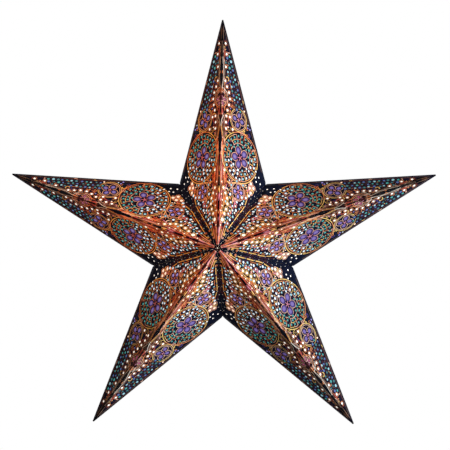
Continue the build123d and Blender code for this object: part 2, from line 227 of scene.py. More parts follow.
# Round windows beside the ridge, and at the notch: radius, tissue, ink of the ring, places
RIDGE_DOTS = (
    (1.95, "cream", "gold", (
        (107.7, 9.6), (83.2, 8.6), (76.8, 12.2), (70.4, 15.7), (63.0, 16.6), (55.4, 14.6), (48.6, 11.2))),
    (2.7, "cream", "gold", ((40.0, 7.6),)),
    (1.3, "peach", "orange", (
        (74.0, 5.0), (66.4, 7.2), (58.6, 6.6), (51.4, 4.6), (90.6, 5.0), (32.0, 4.4))),
    (1.75, "white", "orange", (
        (267.5, 9.0), (281.9, 6.6), (249.5, 7.9), (229.9, 7.5), (222.6, 10.9), (215.4, 15.1), (207.0, 17.0),
        (198.4, 15.4), (190.4, 12.9), (182.0, 11.0), (173.2, 10.4), (164.6, 10.8), (182.0, 17.6),
        (166.4, 23.4))),
)
NOTCH_DOTS = (
    (2.3, "peach", "salmon", ((94.6, 65.4), (93.4, 58.2), (87.0, 60.4), (99.6, 60.4))),
    (1.25, "white", None, ((118.6, 69.6), (111.6, 75.4), (104.8, 70.6), (103.2, 78.4), (110.4, 69.0))),
)

# Rows beside the outer half of the outline: gap to it, x of the first window, tissues in turn
TIP_ROWS = (
    (6.4, 266, ("teal", "sea", "deep", "blue")), (11.8, 262, ("blue", "deep", "teal")),
    (17.2, 256, ("deep", "blue", "sea")),
)
ROW_COUNT, ROW_PITCH = 12, 6.1

# Rings of windows round the oval's flower, with their count, and rows beside the seam: gap and places
OVAL_RINGS = (((17.6, 17.4), 12), ((22.4, 22.0), 18), ((28.8, 28.2), 25))
SEAM_ROWS = (
    (10.6, range(34, 106, 6)), (17.0, range(46, 90, 6)), (24.6, range(52, 76, 6)), (32.0, (58, 65, 72)),
)
SCATTERED = 110

# Card left between windows and at the edges, and how near the lines come to windows, seam and centre
BRIDGE, EDGE_BRIDGE = 0.8, 0.9
OFF_WINDOW, OFF_SEAM, OFF_CENTRE = 0.15, 1.8, 4.0
LINE_STEP = 1.3
FARTHEST = 8  # no window or line reaches this far from its middle


def rosette(place, count, start, reach, size, kind, ink):
    """Petals round a place, from a start angle in degrees."""
    angles = [radians(start) + FULL * k / count for k in range(count)]
    return [(*polar(place, reach, a), *size, a, kind, ink) for a in angles]


def dots(places, radius, kind, ink):
    """Round windows of one size."""
    return [(x, y, radius, radius, 0.0, kind, ink) for x, y in places]


def off_figures(x, y):
    """Whether a place is on the ground, clear of the figures and of the dark borders."""
    seam_gap, outer_gap = gaps(x, y)
    figures = ((OVAL, 36.5), (RING, 17.5), (EGG, 14.0), (LACE, 13.5))
    return seam_gap > 8 and outer_gap > 3.4 and all(dist((x, y), place) > reach for place, reach in figures)


def pattern_holes():
    """Every window of one panel: x, y, half length, half width, turn, tissue, ink of its ring."""
    hand = np.random.default_rng(11)  # the small wander of hand-set figures
    found = []
    for place, petals, start, reach, size, kind, _, _ in FLOWERS:
        found += rosette(place, petals, start, reach, size, kind, None)
    found += rosette(LACE, 6, 30, 7.0, (2.6, 1.7), "rose", "salmon")[:3]
    for radius, kind, ink, places in RIDGE_DOTS:
        found += dots(places, radius, kind, ink)
    for gap, first, kinds in TIP_ROWS:
        for k in range(ROW_COUNT):
            x = first - ROW_PITCH * k + hand.uniform(-0.9, 0.9)
            place = off_outline(x, gap + 0.12 * k + hand.uniform(-0.7, 0.7))
            found += dots([place], hand.uniform(1.4, 2.2), kinds[k % len(kinds)], None)
    for (wide, high), count in OVAL_RINGS:
        for k in range(count):
            a = FULL * (k + 0.5 + hand.uniform(-0.16, 0.16)) / count
            reach = hand.uniform(-0.9, 0.9)
            # the tissue turns from teal at the outer end to pearl at the inner one
            shade = cos(a) + 0.35 * sin(3 * a + count) + hand.uniform(-0.25, 0.25)
            kind = "teal" if shade > 0.0 else "sea" if shade > -0.65 else "pearl"
            found += dots([polar(OVAL, wide + reach, a, high + reach)], hand.uniform(1.45, 2.0), kind, None)
    for gap, places in SEAM_ROWS:
        for k, along in enumerate(places):
            place = off_seam(along + hand.uniform(-1.9, 1.9), gap + hand.uniform(-1.7, 1.7))
            kind, ink = (("sea", None), ("pearl", "orange"), ("pearl", None))[k % 3]
            found += dots([place], hand.uniform(1.4, 2.1), kind, ink)
    found += rosette(EGG, 7, -62, 14.6, (1.7, 1.7), "sea", "salmon")
    for radius, kind, ink, places in NOTCH_DOTS:
        found += dots(places, radius, kind, ink)
    for k in range(13):  # pinholes in the dark border, in a zigzag
        found += dots([off_seam(26 + 8.2 * k, 2.6 + 2.2 * (k % 2))], 0.8, "umber", None)
    for k in range(SCATTERED):
        x, y = hand.uniform(36, 200), hand.uniform(9, 70)
        if off_figures(x, y):
            kind = ("pearl", "sea", "peach", "pearl", "lilac")[k % 5]
            found += dots([(x, y)], hand.uniform(1.0, 1.5), kind, None)
    return found


def spaced(holes, taken):
    """The windows that keep a bridge of card to their neighbours and to the edges."""
    kept = []
    for hole in holes:
        x, y, reach = hole[0], hole[1], max(hole[2:4])
        if min(*gaps(x, y), y) < reach + EDGE_BRIDGE:
            continue
        if all(dist((x, y), t[:2]) > min(hole[2:4]) + t[2] + BRIDGE for t in taken):
            kept.append(hole)
            taken.append((x, y, min(hole[2:4])))
    return kept


# Printed lines: each is the name of its ink with a list of (x, y, half width)

# Arcs of the main figures: ink, figure, radii, start, end, half width, parts
ARCS = (
    ("gold", OVAL, OVAL_SIZE, 1.6, 5.9, 0.6, 60),
    ("orange", OVAL, OVAL_SIZE, -0.4, 1.6, 0.5, 30),
    ("orange", OVAL, (OVAL_SIZE[0] - 2.6, OVAL_SIZE[1] - 2.4), 2.2, 5.2, 0.35, 50),
    ("gold", RING, (15.6, 15.6), 0, FULL, 0.5, 40),
    ("salmon", RING, (13.6, 13.6), 0, FULL, 0.35, 40),
    ("salmon", EGG, (12.0, 11.8), 0, FULL, 0.45, 32),
    ("orange", LACE, (12.2, 12.2), 0.08, pi - 0.08, 0.5, 32),
    ("salmon", LACE, (9.9, 10.0), 0.1, pi - 0.1, 0.3, 32),
    ("cream", LACE, (15.4, 14.2), 0.05, 1.15, 0.4, 32),
    ("pink", LACE, (4.0, 4.0), 0.25, pi - 0.25, 0.4, 16),
)

# Nets between the rings of windows in the oval: inner reach, count, inks in turn
NETS = ((19.2, 18, ("orange", "salmon", "gold")), (25.6, 25, ("salmon", "orange", "gold")))
NET_BAR = 6.2

# Smooth bands round the small flower: ink, half width, places
BANDS = (
    ("gold", 0.7, ((27, 17.2), (34, 22.2), (45, 31.4), (54, 38.6), (61, 45.0), (70, 50.4), (80, 53.6),
                   (89, 52.6), (94.4, 46.5), (95.4, 38))),
    ("gold", 0.7, ((95.4, 38), (94.6, 30), (92, 22), (93.6, 14), (99, 8))),
    ("orange", 0.4, ((50, 31.8), (56, 36.4), (64, 43.4), (73, 47.6), (81, 49.8), (88, 48.0), (92, 42))),
    ("maroon", 0.4, ((36, 26.6), (48, 37.4), (60, 48.6), (72, 56), (83, 59.6))),
    ("gold", 0.5, ((36, 13.5), (50, 21), (62, 25.4), (74, 24.6), (84, 19.5))),
    ("orange", 0.4, ((34, 11.4), (44, 15.4), (52, 19), (66, 22.4), (78, 20))),
    ("pink", 0.4, ((44, 18.8), (56, 25.6), (66, 29.4), (73, 29.0))),
)

# Lines beside the outline: ink, first x, pitch, count, gap and its change at each place, half width
BORDERS = (
    ("maroon", 194, 3, 32, 4.4, 0.0, 0.35), ("orange", 196, 3, 17, 20.0, -0.05, 0.4),
    ("brown", 120, 6, 31, 3.0, 0.0, 0.3),
)

# Outlines of the spindles on the ridge: start, end, height, ink, lift
SPINDLE_LINES = (
    (127, 167, 4.3, "orange", 0.5), (127, 167, 4.3, "gold", 2.0),
    (218, 284, 2.6, "brown", 0.5), (220, 262, 2.6, "cream", 1.5),
)

# Brush strokes beside the ridge: ink, start, bend, end, half width
STROKES = (
    ("red", (84, 6.5), (97, 4), (116, 7.5), 1.5), ("orange", (88, 10.5), (98, 7), (112, 12.5), 1.2),
    ("red", (90, 15), (98, 10), (106, 16.5), 1.2), ("red", (28, 1.6), (52, 3.4), (84, 1.8), 1.0),
    ("orange", (30, 3.2), (56, 8.6), (88, 3.0), 0.7), ("gold", (42, 4.2), (60, 12.6), (82, 6.2), 0.5),
    ("black", (5, 1.2), (16, 3.2), (34, 7.2), 1.1), ("black", (9, 0.9), (24, 1.6), (44, 2.6), 0.9),
    ("gold", (8, 0.8), (20, 2.4), (36, 4.4), 0.5), ("orange", (14, 6.4), (24, 9.0), (38, 13.6), 0.6),
    ("gold", (18, 9.6), (26, 12.4), (36, 17.4), 0.5), ("salmon", (11, 4.6), (20, 6.8), (30, 10.4), 0.45),
    ("red", (12, 3.4), (20, 5.2), (32, 8.4), 0.5), ("orange", (130, 7.4), (146, 6.6), (160, 8.6), 0.8),
    ("red", (168, 14), (178, 13.4), (190, 18.6), 1.0), ("orange", (186, 16), (194, 20.4), (204, 21.6), 0.8),
    ("brown", (224, 5), (238, 4.4), (262, 3.4), 0.8), ("orange", (222, 6.6), (228, 4.6), (246, 4.2), 0.7),
    ("red", (262, 5.6), (268, 4.4), (276, 5.6), 1.2), ("brown", (284, 2.2), (294, 1.8), (306, 1.2), 0.6),
    ("red", (182, 1.4), (187, 4.2), (191, 1.2), 1.4), ("red", (119, 1.2), (123, 3.6), (127, 1.0), 1.3),
    ("pink", (150, 5.0), (157, 8.0), (160, 14), 0.5),
)

# Scrolls where the figures meet: ink, place, radius, start, turns
SCROLLS = (
    ("gold", (21.0, 11.8), 2.2, 2.6, 1.4), ("orange", (27.4, 17.4), 2.4, 0.4, 1.4),
    ("salmon", (15.6, 8.2), 1.8, 1.0, 1.3), ("orange", (33.0, 14.2), 2.6, 3.0, 1.3),
    ("gold", (164.6, 17.6), 4.4, 2.6, 1.5), ("orange", (163.0, 50.6), 4.2, -1.0, -1.4),
    ("salmon", (165.2, 41.0), 3.2, 2.0, 1.3), ("orange", (197.6, 22.6), 2.8, 0.4, 1.4),
    ("salmon", (146.0, 63.4), 3.0, 1.0, 1.3), ("gold", (104.0, 8.0), 3.6, 2.0, 1.3),
    ("orange", (173.0, 51.4), 2.6, 1.0, -1.3), ("gold", (156.0, 10.4), 3.0, 0.5, -1.4),
    ("orange", (88.0, 52.4), 3.4, 0.4, 1.4), ("salmon", (70.0, 30.5), 3.0, 3.4, 1.4),
)

# Seeded marks: inks in turn of the flames near the lamp and farther out, and of the ground's scrolls
NEAR_END, FAR_SCROLLS = 118, 160
NEAR_INKS = ("red", "black", "orange", "black", "gold", "black", "salmon", "pink")
FAR_INKS = ("brown", "black", "orange", "black", "salmon", "black", "maroon", "black")
NEAR_SCROLL_INKS = ("salmon", "gold", "orange", "cream", "gold", "pink")
FAR_SCROLL_INKS = ("maroon", "salmon", "violet", "gold", "maroon", "orange")

# A dark keyline under every bright line keeps it crisp
BRIGHT_INKS = ("gold", "salmon", "orange", "pink", "cream")
KEYLINE = 1.15


def arc(place, size, start, end, width, count=32, turn=0.0):
    """Part of an ellipse."""
    line = []
    for k in range(count + 1):
        a = start + (end - start) * k / count
        x, y = size[0] * cos(a), size[1] * sin(a)
        line.append((
            place[0] + x * cos(turn) - y * sin(turn),
            place[1] + x * sin(turn) + y * cos(turn),
            width,
        ))
    return line


def stroke(start, bend, end, width, count=12, tapered=True):
    """A brush stroke through a bend, pointed at both ends."""
    line = []
    for k in range(count + 1):
        t = k / count
        a, b, c = (1 - t) ** 2, 2 * t * (1 - t), t * t
        swell = sin(pi * t) ** 0.7 if tapered else 1.0
        line.append((
            a * start[0] + b * bend[0] + c * end[0],
            a * start[1] + b * bend[1] + c * end[1],
            max(0.05, width * swell),
        ))
    return line


def through(places, width, parts=6):
    """A smooth line through its places."""
    line = []
    last = len(places) - 1
    for k in range(last):
        p = [places[min(max(j, 0), last)] for j in (k - 1, k, k + 1, k + 2)]
        for n in range(parts + (k == last - 1)):
            t = n / parts
            f = (-t**3 + 2 * t * t - t, 3 * t**3 - 5 * t * t + 2, -3 * t**3 + 4 * t * t + t, t**3 - t * t)
            line.append((*(sum(a * q[i] for a, q in zip(f, p)) / 2 for i in (0, 1)), width))
    return line


def curl(place, radius, start, turns, width=0.38, count=26):
    """A scroll that winds in to its eye."""
    shares = [k / count for k in range(count + 1)]
    return [(*polar(place, radius * (1 - 0.85 * t), start + turns * FULL * t), width) for t in shares]


def brush_marks():
    """Short strokes of flame along the ridge and small scrolls on the ground, fixed by their seed."""
    hand = np.random.default_rng(5)
    heights, dark = list(zip(*FLAMES)), list(zip(*SPINDLES))
    found = []
    for k in range(140):
        x = hand.uniform(3, 298)
        top = float(np.interp(x, *heights))
        low = float(np.interp(x, *dark))
        low += 1.2 if low else 0.0
        y = low + hand.uniform(0.04, 0.98) * max(0.0, top - low)
        near = x < NEAR_END
        long = hand.uniform(5, 9) if near else hand.uniform(4, 8)
        lean = atan2(y, x) * 0.9 + hand.normal(0, 0.16) if near else hand.normal(0, 0.2)
        c, s = cos(lean) * long, sin(lean) * long
        bow = hand.uniform(-1.6, 1.6)
        ink = (NEAR_INKS if near else FAR_INKS)[k % 8]
        found.append((ink, stroke(
            (x - c, y - s), (x - bow * sin(lean), y + bow * cos(lean)), (x + c, y + s),
            hand.uniform(1.2, 1.9) if ink == "black" else hand.uniform(0.6, 0.95), 8,
        )))
    for k in range(29):
        for n in range(8):
            x, y = 46 + 8.5 * k + hand.uniform(-2.0, 2.0), 4 + 8.5 * n + hand.uniform(-2.0, 2.0)
            if off_figures(x, y) and y > np.interp(x, *heights) - 3:
                ink = (FAR_SCROLL_INKS if x > FAR_SCROLLS else NEAR_SCROLL_INKS)[(5 * n + k) % 6]
                start = hand.uniform(0, FULL)
                size = hand.uniform(2.0, 3.4)
                end = start + hand.uniform(2.2, 4.6)
                found.append((ink, arc((x, y), (size, size), start, end, 0.72, 8)))
    return found


def oval_net(hand):
    """Bent bars and broken arcs between the small windows of the oval, and its lobed inner ring."""
    found = []
    for reach, count, inks in NETS:
        for k in range(count):
            a = FULL * (k + hand.uniform(-0.1, 0.1)) / count
            c, s = cos(a), sin(a)
            start, end = polar(OVAL, reach, a), polar(OVAL, reach + NET_BAR, a)
            bow = hand.uniform(0.6, 2.2)
            bend = ((start[0] + end[0]) / 2 - bow * s, (start[1] + end[1]) / 2 + bow * c)
            found.append((inks[k % 3], stroke(start, bend, end, 0.42, 6, False)))
            if k % 3:
                size = reach + NET_BAR + hand.uniform(-0.4, 0.3)
                line = arc(OVAL, (size, size * 0.985), a, a + 0.9 * FULL / count, 0.38, 6)
                found.append((inks[(k + 1) % 3], line))
    lobes = []
    for k in range(61):
        a = FULL * k / 60
        lobes.append((*polar(OVAL, 19.3 + 0.6 * cos(5 * (a - radians(-20))), a), 0.42))
    return found + [("salmon", lobes)]


def pattern_lines():
    """Every printed line of one panel, with its ink."""
    found = brush_marks()
    found += [(ink, arc(place, *shape)) for ink, place, *shape in ARCS]
    found += oval_net(np.random.default_rng(3))
    for place, petals, start, reach, _, _, (wide, high), thread in FLOWERS:
        for k in range(petals):
            a = radians(start) + FULL * k / petals
            heart = polar(place, reach, a)
            found += [
                ("pink", stroke(place, place, polar(place, thread, a), 0.45, 4, False)),
                ("petal", arc(heart, (wide, high), 0, FULL, 0.55, 20, a)),
                ("salmon", arc(heart, (wide + 1.5, high + 1.3), -2.5, 2.5, 0.36, 20, a)),
            ]
    found += [(ink, through(places, width)) for ink, width, places in BANDS]
    # waves between the pairs of the outer band
    for shift, ink in ((0.0, "maroon"), (pi, "brown")):
        swing = [12.0 + 3.2 * sin(FULL * k / 12.2 + shift) for k in range(70)]
        found.append((ink, [(*off_outline(196 + k, gap), 0.34) for k, gap in enumerate(swing)]))
    for ink, first, pitch, count, gap, drift, width in BORDERS:
        places = [off_outline(first + pitch * k, gap + drift * k) for k in range(count)]
        found.append((ink, [(*place, width) for place in places]))
    for start, end, high, ink, lift in SPINDLE_LINES:
        shares = [k / 24 for k in range(25)]
        found.append((ink, [
            (start + (end - start) * t, high * sin(pi * t**0.8) ** 1.4 + lift, 0.4) for t in shares]))
    # stem between the lace and the spindle, and stripes where the flames end
    found.append(("cream", stroke((166, 0.8), (174, 0.6), (182, 5.5), 0.5, 10, False)))
    found.append(("salmon", stroke((170, 3.4), (176, 5.0), (180, 8.0), 0.4, 8, False)))
    for k, (ink, y) in enumerate((("brown", 0.9), ("orange", 2.1), ("salmon", 3.4), ("brown", 4.6))):
        found.append((ink, stroke((86 - 2 * k, y), (104, y + 0.8), (124 - 3 * k, y * 0.7), 0.5, 12)))
    found += [(ink, stroke(*shape)) for ink, *shape in STROKES]
    for shift in (-4.5, -1.5, 1.5, 4.5):  # lattice beside the oval
        found.append(("orange", [(91.5 + shift, 17.2, 0.35), (96.0 + shift, 26.2, 0.35)]))
        found.append(("salmon", [(96.0 + shift, 17.2, 0.35), (91.5 + shift, 26.2, 0.35)]))
    found += [(ink, curl(*shape)) for ink, *shape in SCROLLS]
    keylines = [[(x, y, w + KEYLINE) for x, y, w in line] for ink, line in found if ink in BRIGHT_INKS]
    return [("black", line) for line in keylines] + found


def cut_lines(lines, holes, centre_cut):
    """The printed lines, broken off at the windows and at the sheet's edges and cut corner."""
    kept = []
    middle = (cos(AT_CENTRE / 2), sin(AT_CENTRE / 2))
    for ink, line in lines:
        fine = []
        for (x0, y0, w0), (x1, y1, w1) in zip(line, line[1:]):
            steps = max(1, ceil(dist((x0, y0), (x1, y1)) / LINE_STEP))
            for k in range(steps):
                t = k / steps
                fine.append((x0 + (x1 - x0) * t, y0 + (y1 - y0) * t, w0 + (w1 - w0) * t))
        fine.append(line[-1])
        run = []
        for x, y, w in fine:
            seam_gap, outer_gap = gaps(x, y)
            # the seams close with their printed sides together, so ink keeps well clear of them
            clear = y > w * 0.5 and seam_gap > w + OFF_SEAM and outer_gap > w
            clear = clear and x * middle[0] + y * middle[1] > max(OFF_CENTRE, centre_cut + w)
            for hole in holes:
                if not clear:
                    break
                dx, dy = x - hole[0], y - hole[1]
                if max(abs(dx), abs(dy)) > FARTHEST:
                    continue
                c, s = cos(hole[4]), sin(hole[4])
                u, v = dx * c + dy * s, -dx * s + dy * c
                clear = (u / (hole[2] + w + OFF_WINDOW)) ** 2 + (v / (hole[3] + w + OFF_WINDOW)) ** 2 > 1
            if clear:
                run.append((x, y, w))
            if not clear or (x, y, w) == fine[-1]:
                if len(run) > 1:
                    kept.append((ink, run))
                run = []
    return kept


# Geometry node trees


def new_tree(name, *inputs):
    """A tree with a Geometry input and output, its named inputs and a Material; and what it is given."""
    tree = bpy.data.node_groups.new(name, "GeometryNodeTree")
    for label, kind in (("Geometry", "Geometry"), *inputs, ("Material", "Material")):
        tree.interface.new_socket(label, in_out="INPUT", socket_type="NodeSocket" + kind)
    tree.interface.new_socket("Geometry", in_out="OUTPUT", socket_type="NodeSocketGeometry")
    return tree, add(tree, "NodeGroupInput").outputs


def close_tree(tree, given, geometry):
    """Ends a tree with real geometry and its material."""
    real = add(tree, "RealizeInstances", (geometry,))
    done = add(tree, "SetMaterial", {"Geometry": real, "Material": given["Material"]})
    add(tree, "NodeGroupOutput", (done,))


def set_out(tree, points, figure):
    """A figure at every point, sized and turned by the points' attributes."""
    turn, size = (
        add(tree, "InputNamedAttribute", {"Name": label}, data_type="FLOAT_VECTOR")
        for label in ("turn", "size"))
    return add(tree, "InstanceOnPoints", {
        "Points": points, "Instance": figure, "Rotation": turn, "Scale": size,
    })


def pierced_tree():
    """A sheet cut from an outline and pierced at points: perforations of any size and turn."""
    tree, given = new_tree("Pierced sheet", ("Card thickness", "Float"), ("Window corners", "Int"))
    on_edge = add(tree, "InputNamedAttribute", {"Name": "on_edge"}, data_type="BOOLEAN")
    parts = add(tree, "SeparateGeometry", (given[0], on_edge))
    outline = add(tree, "MeshToCurve", (parts,))
    points = add(tree, "MeshToPoints", (parts.outputs[1],))
    ring = add(tree, "CurvePrimitiveCircle", {"Resolution": given["Window corners"], "Radius": 1.0})
    windows = add(tree, "RealizeInstances", (set_out(tree, points, ring),))
    edges = add(tree, "JoinGeometry", ([outline, windows],))
    face = add(tree, "FillCurve", (edges,))
    front = add(tree, "ExtrudeMesh", {
        "Mesh": face, "Offset Scale": given["Card thickness"], "Individual": False,
    })
    back = add(tree, "FlipFaces", (face,))
    both = add(tree, "JoinGeometry", ([front, back],))
    close_tree(tree, given, add(tree, "MergeByDistance", {"Geometry": both, "Distance": 1e-5}))


def line_tree():
    """Printed lines that follow their paths, as wide as their width attribute says."""
    tree, given = new_tree("Printed lines")
    width = add(tree, "InputNamedAttribute", {"Name": "half_width"}, data_type="FLOAT")
    paths = add(tree, "MeshToCurve", (given[0],))
    level = add(tree, "SetCurveNormal", (paths,), mode="Z_UP")
    across = add(tree, "CurvePrimitiveLine", {"Start": (-1, 0, 0), "End": (1, 0, 0)})
    film = add(tree, "CurveToMesh", {"Curve": level, "Profile Curve": across, "Scale": width})
    close_tree(tree, given, film)


def ring_tree():
    """A printed ring round each window."""
    tree, given = new_tree("Printed rings", ("Ring corners", "Int"), ("Ring width share", "Float"))
    ring = add(tree, "CurvePrimitiveCircle", {"Resolution": given["Ring corners"], "Radius": 1.0})
    half = add(tree, "ShaderNodeCombineXYZ", {"X": given["Ring width share"]})
    across = add(tree, "CurvePrimitiveLine", {"Start": (0, 0, 0), "End": half})
    film = add(tree, "CurveToMesh", {"Curve": ring, "Profile Curve": across})
    close_tree(tree, given, set_out(tree, given[0], film))


def window_tree():
    """A dyed disc in each window, with a rim value from 0 in the middle to 1."""
    tree, given = new_tree("Tissue windows", ("Window corners", "Int"))
    disc = add(tree, "MeshCircle", {
        "Vertices": given["Window corners"], "Radius": 1.0,
    }, fill_type="TRIANGLE_FAN")
    reach = add(tree, "ShaderNodeVectorMath", (add(tree, "InputPosition"),), operation="LENGTH")
    marked = add(tree, "StoreNamedAttribute", {
        "Geometry": disc, "Name": "rim", "Value": reach.outputs["Value"],
    }, data_type="FLOAT", domain="POINT")
    close_tree(tree, given, set_out(tree, given[0], marked))


def grow(tree_name, points, attributes, values, edges=()):
    """Runs a tree on points and edges that carry attributes, and gives the plain mesh that it makes."""
    mesh = bpy.data.meshes.new(tree_name)
    mesh.from_pydata(points, list(edges), [])
    for label, kind, given in attributes:
        field = {"FLOAT_VECTOR": "vector", "FLOAT_COLOR": "color"}.get(kind, "value")
        made = mesh.attributes.new(label, kind, "POINT")
        number = bool if kind == "BOOLEAN" else np.float32
        made.data.foreach_set(field, np.array(given, number).ravel())
    carrier = bpy.data.objects.new(tree_name, mesh)
    bpy.context.scene.collection.objects.link(carrier)
    modifier = carrier.modifiers.new("Tree", "NODES")
    modifier.node_group = bpy.data.node_groups[tree_name]
    for socket in modifier.node_group.interface.items_tree:
        if socket.in_out == "INPUT" and socket.name in values:
            modifier[socket.identifier] = values[socket.name]
    made = bpy.data.meshes.new_from_object(carrier.evaluated_get(bpy.context.evaluated_depsgraph_get()))
    carrier.modifiers.remove(modifier)
    bpy.data.objects.remove(carrier)
    return made


def pulled(data, field, width=1, kind=np.float32):
    """One field of a mesh's data as an array."""
    values = np.zeros(len(data) * width, kind)
    data.foreach_get(field, values)
    return values.reshape(-1, width) if width > 1 else values


def arrays(mesh):
    """A mesh's points, corners and faces as arrays."""
    return (
        pulled(mesh.vertices, "co", 3), pulled(mesh.loops, "vertex_index", kind=np.int32),
        pulled(mesh.polygons, "loop_start", kind=np.int32),
        pulled(mesh.polygons, "loop_total", kind=np.int32),
    )


def up_facing(data):
    """The same flat faces, all turned to the printed side."""
    co, corners, starts, totals = data
    corners = corners.copy()
    for a, n in zip(starts, totals):
        loop = corners[a : a + n]
        p, q, r = co[loop[0]], co[loop[1]], co[loop[2]]
        if (q[0] - p[0]) * (r[1] - p[1]) - (q[1] - p[1]) * (r[0] - p[0]) < 0:
            corners[a : a + n] = loop[::-1]
    return co, corners, starts, totals


def flat_part(mesh, number, label):
    """A tree's flat mesh as arrays that face the printed side, with its material number and its colours."""
    return up_facing(arrays(mesh)), number, {label: pulled(mesh.attributes[label].data, "color", 4)}


def plate(points, low, high):
    """A flat plate of a convex outline, in the same arrays."""
    n = len(points)
    co = np.array([(x, y, z) for z in (low, high) for x, y in points], np.float32)
    corners = list(range(n - 1, -1, -1)) + list(range(n, 2 * n))
    totals = [n, n] + [4] * n
    for k in range(n):
        j = (k + 1) % n
        corners += [k, j, n + j, n + k]
    starts = np.cumsum([0] + totals[:-1])
    return co, np.array(corners, np.int32), starts.astype(np.int32), np.array(totals, np.int32)


def merged(name, parts, materials):
    """One mesh from several (arrays, material numbers, attributes), with its flat place as its UV map."""
    mesh = bpy.data.meshes.new(name)
    sizes = [len(data[0]) for data, _, _ in parts]
    shift = np.cumsum([0] + sizes[:-1])
    co = np.concatenate([data[0] for data, _, _ in parts])
    corners = np.concatenate([part[0][1] + first for part, first in zip(parts, shift)])
    totals = np.concatenate([data[3] for data, _, _ in parts])
    numbers = np.concatenate([np.broadcast_to(number, len(data[3])) for data, number, _ in parts])
    mesh.vertices.add(len(co))
    mesh.vertices.foreach_set("co", co.ravel())
    mesh.loops.add(len(corners))
    mesh.loops.foreach_set("vertex_index", corners.astype(np.int32))
    mesh.polygons.add(len(totals))
    mesh.polygons.foreach_set("loop_start", np.cumsum(np.concatenate([[0], totals[:-1]])).astype(np.int32))
    mesh.polygons.foreach_set("material_index", numbers.astype(np.int32))
    for material in materials:
        mesh.materials.append(material)
    black = (0.0, 0.0, 0.0, 1.0)
    for label, kind, field, blank in (
        ("ink", "FLOAT_COLOR", "color", black), ("dye", "FLOAT_COLOR", "color", black),
        ("rim", "FLOAT", "value", (1.0,)),
    ):
        if any(label in given for _, _, given in parts):
            values = [
                np.ravel(given.get(label, np.tile(blank, size))) for (_, _, given), size in zip(parts, sizes)]
            made = mesh.attributes.new(label, kind, "POINT")
            made.data.foreach_set(field, np.concatenate(values).astype(np.float32))
    layer = mesh.uv_layers.new(name="Flat panel")
    layer.data.foreach_set("uv", (co[corners][:, :2] / UV_SPAN).astype(np.float32).ravel())
    mesh.update()
    mesh.validate()
    return mesh


# Materials. A colour Mix takes its factor at socket 0 and its colours at 6 and 7, and gives its result at 2

SMOOTH = {"interpolation_type": "SMOOTHSTEP"}
# The lamp's glow through card and tissue is painted in as emission, centred above and left of the bulb
GLOW_SHIFT = Vector((-45, 0, 72)) * MM  # from the bulb to the place where the star is brightest
GLOW_START, GLOW_END = 0.06, 0.30  # metres from there


def new_material(name):
    """An empty material with its shader."""
    material = bpy.data.materials.new(name)
    material.use_nodes = True
    tree = material.node_tree
    tree.nodes.clear()
    shader = add(tree, "BsdfPrincipled")
    add(tree, "OutputMaterial", {"Surface": shader})
    return material, tree, shader


def drawn_height(tree, along, span, points):
    """A height along the panel, both in millimetres, as a curve of straight parts up to a span."""
    node = add(tree, "FloatCurve", {"Value": along})
    curve = node.mapping.curves[0]
    for number, (x, y) in enumerate((points[0], points[-1], *points[1:-1])):
        place = (x / UV_SPAN, y / span)
        if number < 2:
            curve.points[number].location = place
        else:
            curve.points.new(*place)
    for point in curve.points:
        point.handle_type = "VECTOR"
    node.mapping.update()
    return add(tree, "Math", (node, span), operation="MULTIPLY")


def paper_tooth(tree, shader, size_mm, depth_mm):
    """The fine tooth of pressed card, tissue or metal, drawn at a size that the render can show."""
    place = add(tree, "TexCoord").outputs["Object"]
    grain = add(tree, "TexNoise", {"Vector": place, "Scale": 1 / (size_mm * MM), "Detail": 3.0})
    bump = add(tree, "Bump", {"Height": grain, "Strength": 0.5, "Distance": depth_mm * MM})
    wire(tree, shader, {"Normal": bump})
    return grain


def painted_glow_falloff(tree):
    """The falloff of the painted lamp glow: 1 beside the brightest place inside, above and left of the lamp; 0
    at the tips.
    """
    place = add(tree, "TexCoord").outputs["Object"]
    low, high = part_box("bulb_globe")
    away = add(tree, "VectorMath", (place, (low + high) / 2 + GLOW_SHIFT), operation="DISTANCE")
    return add(tree, "MapRange", (away.outputs["Value"], GLOW_START, GLOW_END, 1.0, 0.0), **SMOOTH)


def printed(tree, shader, colour, greyness, strength):
    """Print on card: its colour a little greyer, as a painted sheen in the light that it scatters back, and the
    lamp's light that comes through painted in as warm emission.
    """
    # painted sheen: the print's colour greyed a little
    back = add(tree, "HueSaturation", {"Saturation": greyness, "Color": colour})
    # painted glow: the lamp's light through the card as warm emission, fading with distance from the glow's
    # middle
    warm = add(tree, "Mix", {
        0: 1.0, 6: colour, 7: linear("#FF9848"),
    }, data_type="RGBA", blend_type="MULTIPLY")
    near = painted_glow_falloff(tree)
    squared = add(tree, "Math", (near, near), operation="MULTIPLY")
    share = add(tree, "Math", (squared, 0.95, 0.05), operation="MULTIPLY_ADD")
    lit = add(tree, "VectorMath", {0: warm.outputs[2], "Scale": share}, operation="SCALE")
    wire(tree, shader, {"Base Color": back, "Emission Color": lit, "Emission Strength": strength})


